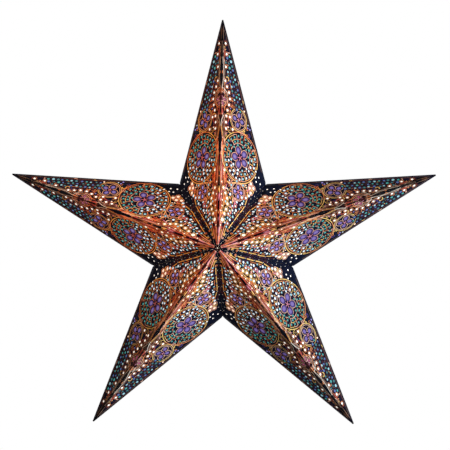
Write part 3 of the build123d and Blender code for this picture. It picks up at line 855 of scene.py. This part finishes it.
def printed_card_material():
    """Matt offset-printed card: dark even ground, no coat, and the lamp's light through it painted in as a faint
    warm glow.
    """
    s = bpy.context.scene.star_sheets
    _, tree, shader = new_material("Matt offset-printed card")
    flat = add(tree, "TexCoord").outputs["UV"]
    place = add(tree, "SeparateXYZ", (flat,))
    along = place.outputs["X"]
    across = add(tree, "Math", (place.outputs["Y"], UV_SPAN), operation="MULTIPLY")
    # hand-drawn wander of the edges of the painted zones, about 10 mm long and 4 mm to either side
    wander = add(tree, "TexNoise", {"Vector": flat, "Scale": UV_SPAN / 10, "Detail": 2.0})
    drift = add(tree, "Math", (wander, 0.5), operation="SUBTRACT")
    moved = add(tree, "Math", (drift, 8.0, across), operation="MULTIPLY_ADD")
    # flames: noise cells 38 mm long and 6 mm wide, of which the narrow stops leave thin strokes
    stretch = add(tree, "Mapping", {"Vector": flat, "Scale": (UV_SPAN / 38, UV_SPAN / 6.0, 1.0)})
    strokes = add(tree, "TexNoise", {"Vector": stretch, "Scale": 1.0, "Detail": 2.0, "Distortion": 0.5})
    flame = add(tree, "ValToRGB", (strokes,), (
        (0.462, "#06040A"), (0.486, "#5C160A"), (0.503, "#E06C1C"), (0.513, "#FFC058"),
        (0.526, "#A2380E"), (0.545, "#08050A"),
    ))
    bark = add(tree, "ValToRGB", (strokes,), (
        (0.42, "#060509"), (0.48, "#240F0B"), (0.505, "#74361C"), (0.525, "#8A5C3A"), (0.55, "#0C0708"),
    ))
    inner_half = add(tree, "MapRange", (along, 85 / UV_SPAN, 150 / UV_SPAN, 1.0, 0.0), **SMOOTH)
    warm = add(tree, "Mix", {0: inner_half, 6: bark, 7: flame}, data_type="RGBA")
    past = add(tree, "Math", (moved, drawn_height(tree, along, 60.0, FLAMES)), operation="SUBTRACT")
    beside = add(tree, "MapRange", (past, -1.6, 1.2, 1.0, 0.0), **SMOOTH)
    # ground between the figures: navy, turning maroon in the outer band
    navy = add(tree, "Mix", {0: wander, 6: s.ground, 7: linear("#0A0D1A")}, data_type="RGBA")
    maroon = add(tree, "Mix", {
        0: wander, 6: linear("#120810"), 7: linear("#3E1418"),
    }, data_type="RGBA").outputs[2]
    band = add(tree, "ValToRGB", (along,), (
        (0.0, "#000000"), (0.595, "#000000"), (0.63, "#707070"), (0.86, "#808080"), (0.98, "#707070"),
    ))
    ground = add(tree, "Mix", {0: band, 6: navy.outputs[2], 7: maroon}, data_type="RGBA")
    # faint veins about 6 mm apart inside the oval, round the small flower and in the outer band
    figures = []
    for centre, low, high in (
        (OVAL, 0.095, 0.105), ((66, 31), 0.075, 0.085), (LACE, 11.6 / UV_SPAN, 12.2 / UV_SPAN),
    ):
        spot = (centre[0] / UV_SPAN, centre[1] / UV_SPAN, 0)
        away = add(tree, "VectorMath", (flat, spot), operation="DISTANCE").outputs["Value"]
        figures.append(add(tree, "MapRange", (away, low, high, 1.0, 0.0), **SMOOTH))
    in_oval, in_egg, in_lace = figures
    shifted = add(tree, "Math", (along, 0.66), operation="SUBTRACT")
    off_band = add(tree, "Math", (shifted,), operation="ABSOLUTE")
    in_band = add(tree, "MapRange", (off_band, 0.10, 0.11, 1.0, 0.0), **SMOOTH)
    either = add(tree, "Math", (in_oval, in_egg), operation="MAXIMUM")
    veined = add(tree, "Math", (either, in_band), operation="MAXIMUM")
    cells = add(tree, "TexVoronoi", {
        "Vector": flat, "Scale": UV_SPAN / 6.0, "Randomness": 0.9,
    }, feature="DISTANCE_TO_EDGE")
    vein = add(tree, "MapRange", (cells, 0.03, 0.08, 1.0, 0.0), **SMOOTH)
    faint = add(tree, "Math", (veined, 0.08), operation="MULTIPLY")
    veins = add(tree, "Math", (vein, faint), operation="MULTIPLY")
    tint = add(tree, "ValToRGB", (strokes,), ((0.35, "#B4603A"), (0.5, "#A8506A"), (0.65, "#B88A3C")))
    ground = add(tree, "Mix", {0: veins, 6: ground.outputs[2], 7: tint}, data_type="RGBA")
    colour = add(tree, "Mix", {0: beside, 6: ground.outputs[2], 7: warm.outputs[2]}, data_type="RGBA")
    # round lace figure on the ridge, and the dark spindles either side of it
    colour = add(tree, "Mix", {0: in_lace, 6: colour.outputs[2], 7: maroon}, data_type="RGBA")
    spindle = drawn_height(tree, along, 6.0, SPINDLES)
    above = add(tree, "Math", (across, spindle), operation="SUBTRACT")
    below = add(tree, "MapRange", (above, -0.25, 0.15, 1.0, 0.0), **SMOOTH)
    there = add(tree, "Math", (spindle, 0.1), operation="GREATER_THAN")
    dark = add(tree, "Math", (below, there), operation="MULTIPLY")
    colour = add(tree, "Mix", {0: dark, 6: colour.outputs[2], 7: linear("#0A0B14")}, data_type="RGBA")
    # painted glow of the lamp through the card, and a painted sheen that greys the print a little
    printed(tree, shader, colour.outputs[2], 0.96, 0.54)
    wire(tree, shader, {"Roughness": s.gloss_roughness, "Specular IOR Level": 0.02})
    paper_tooth(tree, shader, 1.6, 0.03)


def ink_material():
    """Screen-printed ink, thicker than offset print, so a little glossier and uneven in density; the lamp's glow
    through the card is painted in as emission.
    """
    _, tree, shader = new_material("Screen-printed ink")
    ink = add(tree, "Attribute", attribute_name="ink", attribute_type="GEOMETRY")
    grain = paper_tooth(tree, shader, 2.4, 0.03)
    density = add(tree, "ValToRGB", (grain,), ((0.3, "#C8C8C8"), (0.6, "#FFFFFF")))
    colour = add(tree, "Mix", {0: 1.0, 6: ink, 7: density}, data_type="RGBA", blend_type="MULTIPLY")
    # painted glow of the lamp through the card, and a painted sheen that greys the ink a little
    printed(tree, shader, colour.outputs[2], 0.9, 0.5)
    wire(tree, shader, {"Roughness": 0.6, "Specular IOR Level": 0.03})


def inner_card_material():
    """Uncoated inner side of the card: matt, off-white, with a soft fibre cloud."""
    _, tree, shader = new_material("Uncoated inner side of card")
    grain = paper_tooth(tree, shader, 2.0, 0.06)
    cloud = add(tree, "ValToRGB", (grain,), ((0.3, "#D6CCBC"), (0.7, "#EDE6DA")))
    wire(tree, shader, {"Base Color": cloud, "Roughness": 0.85})


def window_material():
    """Dyed tissue with the bulb's light behind it painted in as emission: soft, fibrous, with a painted hot spot
    that is paler in the middle and nearer the lamp.
    """
    s = bpy.context.scene.star_tissue
    _, tree, shader = new_material("Dyed tissue lit from behind")
    dye = add(tree, "Attribute", attribute_name="dye", attribute_type="GEOMETRY")
    rim = add(tree, "Attribute", attribute_name="rim", attribute_type="GEOMETRY")
    grain = paper_tooth(tree, shader, 1.8, 0.05)
    near = painted_glow_falloff(tree)
    middle = add(tree, "MapRange", (rim.outputs["Fac"], 0.0, 0.9, 1.0, 0.0), **SMOOTH)
    # painted hot spot: each window's middle paler, more so nearer the lamp's glow
    painted_hot_spot = add(tree, "Math", (near, 0.12, 0.02), operation="MULTIPLY_ADD")
    heart = add(tree, "Math", (middle, painted_hot_spot), operation="MULTIPLY")
    colour = add(tree, "Mix", {0: heart, 6: dye, 7: linear("#FFF2E2")}, data_type="RGBA")
    # painted glow: the lamp's light through the tissue as emission, fading towards the tips
    level = add(tree, "Math", (near, 1 - s.far_glow, s.far_glow), operation="MULTIPLY_ADD")
    fibre = add(tree, "Math", (grain, 0.5, 0.75), operation="MULTIPLY_ADD")
    glow = add(tree, "Math", (level, fibre), operation="MULTIPLY")
    lit = add(tree, "VectorMath", {0: colour.outputs[2], "Scale": glow}, operation="SCALE")
    back = add(tree, "HueSaturation", {"Saturation": 0.8, "Color": dye})
    wire(tree, shader, {
        "Base Color": back, "Roughness": 0.7, "Emission Color": lit, "Emission Strength": s.glow,
    })


def tissue_material():
    """Undyed tissue glued behind the card: thin and matt, with a soft glow painted in as emission."""
    _, tree, shader = new_material("Undyed tissue")
    grain = paper_tooth(tree, shader, 1.4, 0.05)
    colour = add(tree, "ValToRGB", (grain,), ((0.3, "#E2D3BE"), (0.7, "#F6ECDC")))
    # painted glow: the tissue's own colour as faint emission
    wire(tree, shader, {
        "Base Color": colour, "Roughness": 0.8, "Emission Color": colour, "Emission Strength": 0.25,
    })


def lit_opal_material():
    """Opal bulb, lit: even warm white, a little darker towards its neck."""
    material, tree, shader = new_material("Opal plastic, lit")
    low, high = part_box("bulb_globe")
    depth = add(tree, "SeparateXYZ", (add(tree, "TexCoord").outputs["Object"],))
    front = add(tree, "MapRange", {"Value": depth.outputs["Y"], "From Min": low.y, "From Max": high.y})
    colour = add(tree, "ValToRGB", (front,), ((0.0, "#FFF3DC"), (0.75, "#FFE9C8"), (1.0, "#B9A88C")))
    wire(tree, shader, {
        "Base Color": colour, "Roughness": 0.4, "Emission Color": colour, "Emission Strength": 2.0,
    })
    return material


def plain_material(name, low, high, size_mm, roughness, metallic=0.0):
    """A finish whose colour clouds between two tones over a real grain size."""
    material, tree, shader = new_material(name)
    grain = paper_tooth(tree, shader, size_mm, 0.03)
    colour = add(tree, "ValToRGB", (grain,), ((0.3, low), (0.7, high)))
    worn = add(tree, "MapRange", {"Value": grain, "To Min": roughness * 0.8, "To Max": roughness * 1.2})
    wire(tree, shader, {"Base Color": colour, "Roughness": worn, "Metallic": metallic})
    return material


# Finishes of the fittings by a word in their names: name, two tones, grain in mm, roughness, metallic
FITTINGS = {
    # pressed from thin sheet: warm yellow with small soft highlights
    "eyelet": ("Pressed brass eyelet", "#A8843C", "#D9B866", 1.2, 0.28, 1.0),
    # drawn and plated: cool even grey, a thin line of light along the wire
    "wire_bracket": ("Zinc-plated spring wire", "#A6A8AA", "#C9CBCC", 2.0, 0.3, 1.0),
    # moulded in a fine-blasted tool: near black with a broad dull sheen
    "cord_grip": ("Moulded black thermoplastic", "#101011", "#1C1C1E", 1.2, 0.4),
    "holder": ("Moulded black thermoplastic shell", "#141415", "#202022", 1.2, 0.45),
    # fired ceramic under a thin glaze: creamy white and smooth
    "contact_block": ("Glazed steatite", "#E2DED4", "#F0ECE2", 1.5, 0.3),
    # rolled strip: yellow, a little brighter than the eyelets
    "contact": ("Rolled contact brass", "#B08A3E", "#DDBB6A", 1.5, 0.3, 1.0),
    # black glass cast round the foot contact: deep and glossy
    "bulb_foot": ("Black vitrite", "#08080A", "#141418", 1.0, 0.15),
    # plated and polished: pale warm grey, the sharpest reflections on the lamp
    "bulb_screw_cap": ("Nickel-plated brass", "#B4B2AC", "#D8D6D0", 1.4, 0.22, 1.0),
}

INKS = {
    "black": "#050509", "petal": "#523C88", "gold": "#FFD266", "orange": "#F08A42", "salmon": "#F6C0A4",
    "pink": "#E88CA8", "red": "#BC3E20", "maroon": "#5C2228", "violet": "#4E3A80", "brown": "#80604C",
    "cream": "#F2E4CC",
}
DYES = {
    "white": "#FFF4E6", "cream": "#FFE6CC", "peach": "#FFD0B0", "pearl": "#C4D0D8", "teal": "#20807A",
    "blue": "#2E4A80", "sea": "#78A8B0", "violet": "#503A7E", "lilac": "#7C68AE", "rose": "#84284C",
    "umber": "#A8A098", "deep": "#185458",
}


# Settings


class StarSheetSettings(bpy.types.PropertyGroup):
    card_thickness: FloatProperty(name="Card thickness", description="Thickness of a sheet",
                                  default=0.4 * MM, min=0.1 * MM, unit="LENGTH")
    window_corners: IntProperty(name="Window corners", description="Corners of each pierced window",
                                default=10, min=6)
    ink_lift: FloatProperty(name="Ink lift", description="Height of the ink over the card",
                            default=0.05 * MM, min=0.0, unit="LENGTH")
    ground: FloatVectorProperty(name="Ground", description="Printed ground colour", subtype="COLOR", size=4,
                                default=linear("#121B33"))
    gloss_roughness: FloatProperty(name="Print roughness", description="Roughness of the printed side",
                                   default=0.6, min=0.0, max=1.0, subtype="FACTOR")


class StarTissueSettings(bpy.types.PropertyGroup):
    glow: FloatProperty(name="Glow", description="Brightness of the lit windows", default=1.05, min=0.0)
    far_glow: FloatProperty(name="Far glow", description="Share of the glow at the tips",
                            default=0.7, min=0.0, max=1.0, subtype="FACTOR")
    tissue_thickness: FloatProperty(name="Tissue thickness", description="Thickness of the tissue",
                                    default=0.08 * MM, min=0.02 * MM, unit="LENGTH")


class StarStageSettings(bpy.types.PropertyGroup):
    camera_distance: FloatProperty(name="Camera distance", default=3.0, min=0.5, unit="LENGTH",
                                   description="Distance of the camera from the star")
    pixel: FloatProperty(name="Pixel size", description="Width of one of 450 pixels at the star",
                         default=1.337 * MM, min=0.1 * MM, precision=5, unit="LENGTH")
    azimuth: FloatProperty(name="Azimuth", description="Camera's angle to the right",
                           default=radians(3.9), subtype="ANGLE")
    elevation: FloatProperty(name="Elevation", description="Camera's angle above the star",
                             default=radians(3.1), subtype="ANGLE")


# The sheets. A panel is cut as a front one, a back one, the one with the hanging eyelet, or one with ties

CENTRE_CUTS = {"front": 0.4, "back": 13.6, "hanging": 4.1, "tied": 13.6}
TIP_CUT, NOTCH_CUT = 3.35, 0.9
RIDGE_MARGIN, OUTER_MARGIN = 0.03, 0.03
SEAM_MARGINS = (0.05, 0.035)  # at the inner and the outer face
AFTER_OPEN_SEAM = 3  # the arm whose left seam is tied, so it carries no flap
RING_REACH, RING_CORNERS, RING_SHARE = 0.7, 12, 0.3  # a printed ring past its window, and its width
DISC_HEIGHT, TISSUE_TOP = 0.04, -0.02

# The tissue's margins at ridge, outline and seam and its corner cuts, and those where eyelets need room
TISSUE = (3.0, 4.5, 5.0, (14.0, 12.0, 4.0))
TISSUE_BY_EYELETS = (6.0, 9.5, 9.5, (3.0, 3.0, 3.0))

# The seam flap: corners as places from the notch and depths, and the heights of its faces
FLAP = ((14, 0.9), (SEAM - 26, 0.9), (SEAM - 35, 8.9), (23, 8.9))
FLAP_HEIGHTS = (-0.3, -0.005)


def every_panel():
    """Arm, face, side and name of each of the twenty panels."""
    for arm, name in enumerate(FAN):
        for face in ("front", "back"):
            for side in (-1, 1):
                yield arm, face, side, f"{name}_{face}_{'right' if side > 0 else 'left'}"


def variant_of(name):
    """Which cutting a panel has: front, back, hanging or tied."""
    if name == "top_back_right":
        return "hanging"
    if name in ("lower_right_back_right", "lower_left_back_left"):
        return "tied"
    return "front" if "_front_" in name else "back"


def holes_of(variant):
    """A variant's plain round holes and its pattern windows."""
    plain = {
        "hanging": [HANG_HOLE, HOOK_HOLE],
        "tied": [(*off_seam(distance, TIE_SETBACK), TIE_RADIUS) for distance in TIE_DISTANCES],
    }.get(variant, [])
    windows = spaced(pattern_holes(), [(x, y, r + BRIDGE) for x, y, r in plain])
    return [(x, y, r, r, 0.0, None, None) for x, y, r in plain], windows


def sized(holes, more=0.0):
    """The attributes that size and turn a figure at each hole."""
    return [
        ("size", "FLOAT_VECTOR", [(h[2] + more, h[3] + more, 1) for h in holes]),
        ("turn", "FLOAT_VECTOR", [(0, 0, h[4]) for h in holes]),
    ]


def cut_sheet(variant, every):
    """The sheet, cut and pierced, mitred at ridge and seam, with its inner side as material 2."""
    s = bpy.context.scene.star_sheets
    thick = s.card_thickness / MM
    cuts = (CENTRE_CUTS[variant], TIP_CUT, NOTCH_CUT)
    ridge, seam = (mitre((0, "back", 1), other, thick) for other in ((0, "back", -1), (1, "back", -1)))
    low = panel_outline(RIDGE_MARGIN, OUTER_MARGIN, SEAM_MARGINS[0], cuts)
    high = panel_outline(RIDGE_MARGIN - ridge, OUTER_MARGIN, SEAM_MARGINS[1] + seam, cuts)
    places = [(*point, 1, 1, 0.0) for point in low] + every
    sheet = arrays(grow("Pierced sheet", [(*p[:2], 0.0) for p in places], [
        ("on_edge", "BOOLEAN", [True] * len(low) + [False] * len(every)), *sized(places),
    ], {
        "Card thickness": thick, "Window corners": s.window_corners,
        "Material": bpy.data.materials["Matt offset-printed card"],
    }, [(k, (k + 1) % len(low)) for k in range(len(low))]))
    co, corners, starts, totals = sheet
    for before, after in zip(low, high):
        near = (np.hypot(co[:, 0] - before[0], co[:, 1] - before[1]) < 0.02) & (co[:, 2] > thick / 2)
        co[near, :2] = after
    inner = np.array([co[corners[a : a + n], 2].max() < 1e-4 for a, n in zip(starts, totals)])
    return sheet, np.where(inner, 2, 0), {}


def print_on(variant, every, windows):
    """The printed lines, each ink at its own height, and the rings round windows."""
    s = bpy.context.scene.star_sheets
    thick, lift = s.card_thickness / MM, s.ink_lift / MM
    order = list(INKS)
    points, widths, colours, edges = [], [], [], []
    for name, line in cut_lines(pattern_lines(), every, CENTRE_CUTS[variant]):
        first = len(points)
        height = thick + lift * (1 + 0.12 * order.index(name))
        points += [(x, y, height) for x, y, w in line]
        widths += [w for x, y, w in line]
        colours += [linear(INKS[name])] * len(line)
        edges += [(first + k, first + k + 1) for k in range(len(line) - 1)]
    ink = bpy.data.materials["Screen-printed ink"]
    ringed = [h for h in windows if h[6]]
    films = [
        grow("Printed lines", points, [
            ("half_width", "FLOAT", widths), ("ink", "FLOAT_COLOR", colours),
        ], {"Material": ink}, edges),
        grow("Printed rings", [(*h[:2], thick + lift * 0.5) for h in ringed], [
            *sized(ringed, RING_REACH), ("ink", "FLOAT_COLOR", [linear(INKS[h[6]]) for h in ringed]),
        ], {"Ring corners": RING_CORNERS, "Ring width share": RING_SHARE, "Material": ink}),
    ]
    return [flat_part(film, 1, "ink") for film in films]


def tissue_of(variant, windows):
    """A dyed disc in each window and the plain tissue behind them all."""
    discs = grow("Tissue windows", [(*h[:2], DISC_HEIGHT) for h in windows], [
        *sized(windows), ("dye", "FLOAT_COLOR", [linear(DYES[h[5]]) for h in windows]),
    ], {
        "Window corners": bpy.context.scene.star_sheets.window_corners,
        "Material": bpy.data.materials["Dyed tissue lit from behind"],
    })
    shape = panel_outline(*(TISSUE_BY_EYELETS if variant in ("hanging", "tied") else TISSUE))
    behind = plate(shape, TISSUE_TOP - bpy.context.scene.star_tissue.tissue_thickness / MM, TISSUE_TOP)
    dyed = flat_part(discs, 0, "dye")
    dyed[2]["rim"] = pulled(discs.attributes["rim"].data, "value")
    return [dyed, (behind, 1, {})]


def sheet_meshes(variant):
    """The parts of the printed sheet and of its tissue, flat, for one cutting."""
    plain, windows = holes_of(variant)
    every = plain + windows
    return [cut_sheet(variant, every), *print_on(variant, every, windows)], tissue_of(variant, windows)


def seam_flap():
    """The strip inside a sheet that is glued to its neighbour along the seam."""
    angle = pi + AT_CENTRE
    c, s = cos(angle), sin(angle)
    return plate([(NOTCH[0] + u * c - v * s, NOTCH[1] + u * s + v * c) for u, v in FLAP], *FLAP_HEIGHTS)


def placed(name, mesh, matrix, body):
    """A finished piece: its object at the origin, its place in its mesh."""
    mesh.transform(matrix)
    if matrix.determinant() < 0:
        mesh.flip_normals()
    piece = bpy.data.objects.new(name, mesh)
    bpy.context.scene.collection.objects.link(piece)
    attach(piece, body)
    return piece


class STAR_OT_materials(bpy.types.Operator):
    """Makes the node trees and the finishes of the sheets and their tissue"""
    bl_idname = "star.materials"
    bl_label = "Finishes and trees"

    def execute(self, context):
        for make in (pierced_tree, line_tree, ring_tree, window_tree, printed_card_material, ink_material,
                     inner_card_material, window_material, tissue_material):
            make()
        return {"FINISHED"}


class STAR_OT_panels(bpy.types.Operator):
    """Cuts, prints and lines the twenty sheets and puts them on their bodies"""
    bl_idname = "star.panels"
    bl_label = "Pierced sheets and tissue"

    def execute(self, context):
        finishes = [bpy.data.materials[n] for n in (
            "Matt offset-printed card", "Screen-printed ink", "Uncoated inner side of card")]
        backing = [bpy.data.materials[n] for n in ("Dyed tissue lit from behind", "Undyed tissue")]
        flats = {v: sheet_meshes(v) for v in CENTRE_CUTS}
        for arm, face, side, name in every_panel():
            sheet, tissue = flats[variant_of(name)]
            matrix = panel_matrix(arm, face, side)
            if side < 0 and arm != AFTER_OPEN_SEAM and variant_of(name) in ("front", "back"):
                sheet = sheet + [(seam_flap(), 2, {})]
            piece = placed(name + "_pierced_sheet", merged(name, sheet, finishes), matrix, name)
            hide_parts(name + "_paper")
            piece = placed(name + "_window_tissue", merged(name, tissue, backing), matrix, name)
            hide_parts(name + "_liner")
        return {"FINISHED"}


class STAR_OT_fittings(bpy.types.Operator):
    """Finishes the glue flaps, eyelets and the lamp"""
    bl_idname = "star.fittings"
    bl_label = "Flaps, eyelets and lamp"

    def execute(self, context):
        finishes = {key: plain_material(*finish) for key, finish in FITTINGS.items()}
        finishes["glue_flap"] = bpy.data.materials["Uncoated inner side of card"]
        finishes["bulb_globe"] = lit_opal_material()
        keys = sorted(finishes, key=len, reverse=True)
        for name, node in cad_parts.items():
            if not name.endswith(("_paper", "_liner")):
                node.data.materials.clear()
                node.data.materials.append(finishes[next(key for key in keys if key in name)])
        return {"FINISHED"}


# The stage: lights as name, place from the star's centre, power, size and colour; the floor below it

LIGHTS = (
    ("Key", (2.05, -1.2, -0.05), 70.0, 0.8, "#E6F2FF"),
    ("Fill", (-0.45, -0.5, 0.7), 2.4, 0.3, "#FFE0C4"),
    ("Rear", (-0.6, 2.0, 0.7), 16.0, 1.2, "#FFFFFF"),
)
AIM = (2.3, 18.4)  # pixels right of and above the star's centre
IMAGE_SIDE, SENSOR = 450, 36
FLOOR_RADIUS, FLOOR_DROP, FLOOR_CORNERS = 1.4, 1.3, 48


def facing(thing, centre):
    """Turns a lamp or a camera to a place."""
    thing.rotation_euler = (centre - thing.location).to_track_quat("-Z", "Y").to_euler()


def add_floor(scene, centre):
    """A plain painted disc: matt, pale, and as white as the surroundings where only the camera looks."""
    material, tree, shader = new_material("Pale painted floor")
    seen = add(tree, "LightPath").outputs["Is Camera Ray"]
    wire(tree, shader, {
        "Base Color": linear("#F2F1EE"), "Roughness": 0.8,
        "Emission Color": seen, "Emission Strength": 0.45,
    })
    disc = bpy.data.meshes.new("Floor")
    rim = [polar(centre, FLOOR_RADIUS, FULL * k / FLOOR_CORNERS) for k in range(FLOOR_CORNERS)]
    disc.from_pydata([(x, y, centre.z - FLOOR_DROP) for x, y in rim], [], [list(range(FLOOR_CORNERS))])
    disc.materials.append(material)
    floor = bpy.data.objects.new("Floor", disc)
    scene.collection.objects.link(floor)


def add_surroundings(scene):
    """White where the camera looks past the star, and a soft dim light from all round."""
    world = bpy.data.worlds.new("White surroundings")
    scene.world = world
    world.use_nodes = True
    tree = world.node_tree
    tree.nodes.clear()
    soft = add(tree, "Background", {"Color": linear("#F6EFE6"), "Strength": 0.06})
    white = add(tree, "Background", {"Color": (1, 1, 1, 1), "Strength": 1.0})
    path = add(tree, "LightPath").outputs
    straight = add(tree, "Math", (path["Is Camera Ray"], path["Is Transmission Ray"]), operation="MAXIMUM")
    seen = add(tree, "Math", (straight, path["Is Glossy Ray"]), operation="MAXIMUM")
    mixed = add(tree, "MixShader", (seen, soft, white))
    add(tree, "OutputWorld", {"Surface": mixed})


class STAR_OT_stage(bpy.types.Operator):
    """Sets the floor, the soft lights, the white surroundings and the camera"""
    bl_idname = "star.stage"
    bl_label = "Stage, lights and camera"

    def execute(self, context):
        scene = context.scene
        s = scene.star_stage
        scene.view_settings.view_transform = "Standard"
        centre = STAR_CENTRE * MM
        right = Vector((cos(s.azimuth), sin(s.azimuth), 0))
        back = Vector((
            sin(s.azimuth) * cos(s.elevation),
            -cos(s.azimuth) * cos(s.elevation),
            sin(s.elevation),
        ))
        aim = centre + (right * AIM[0] + back.cross(right) * AIM[1]) * s.pixel
        data = bpy.data.cameras.new("Camera")
        data.lens = SENSOR * s.camera_distance / (IMAGE_SIDE * s.pixel)
        data.clip_end = 50
        camera = bpy.data.objects.new("Camera", data)
        scene.collection.objects.link(camera)
        camera.location = aim + back * s.camera_distance
        facing(camera, aim)
        scene.camera = camera
        for name, place, power, size, colour in LIGHTS:
            light = bpy.data.lights.new(name, "AREA")
            light.energy, light.size, light.color = power, size, linear(colour)[:3]
            lamp = bpy.data.objects.new(name, light)
            scene.collection.objects.link(lamp)
            lamp.location = centre + Vector(place)
            facing(lamp, centre)
        add_surroundings(scene)
        add_floor(scene, centre)
        return {"FINISHED"}


class STAR_PT_panel(bpy.types.Panel):
    """Lists the star's settings and steps"""
    bl_label = "Star lantern"
    bl_idname = "STAR_PT_panel"
    bl_space_type = "VIEW_3D"
    bl_region_type = "UI"
    bl_category = "Star"

    def draw(self, context):
        for group in (context.scene.star_sheets, context.scene.star_tissue, context.scene.star_stage):
            for label in group.bl_rna.properties.keys():
                if label not in ("rna_type", "name"):
                    self.layout.prop(group, label)
        for step in STEPS:
            self.layout.operator(step.bl_idname)


STEPS = (STAR_OT_materials, STAR_OT_panels, STAR_OT_fittings, STAR_OT_stage)
GROUPS = (
    ("star_sheets", StarSheetSettings),
    ("star_tissue", StarTissueSettings),
    ("star_stage", StarStageSettings),
)


def register():
    for label, group in GROUPS:
        bpy.utils.register_class(group)
        setattr(bpy.types.Scene, label, PointerProperty(type=group))
    for step in (*STEPS, STAR_PT_panel):
        bpy.utils.register_class(step)


def unregister():
    for step in reversed((*STEPS, STAR_PT_panel)):
        bpy.utils.unregister_class(step)
    for label, group in reversed(GROUPS):
        delattr(bpy.types.Scene, label)
        bpy.utils.unregister_class(group)


def main():
    register()
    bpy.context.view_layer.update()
    bpy.ops.star.materials()
    bpy.ops.star.panels()
    bpy.ops.star.fittings()
    bpy.ops.star.stage()


if __name__ == "__main__":
    main()
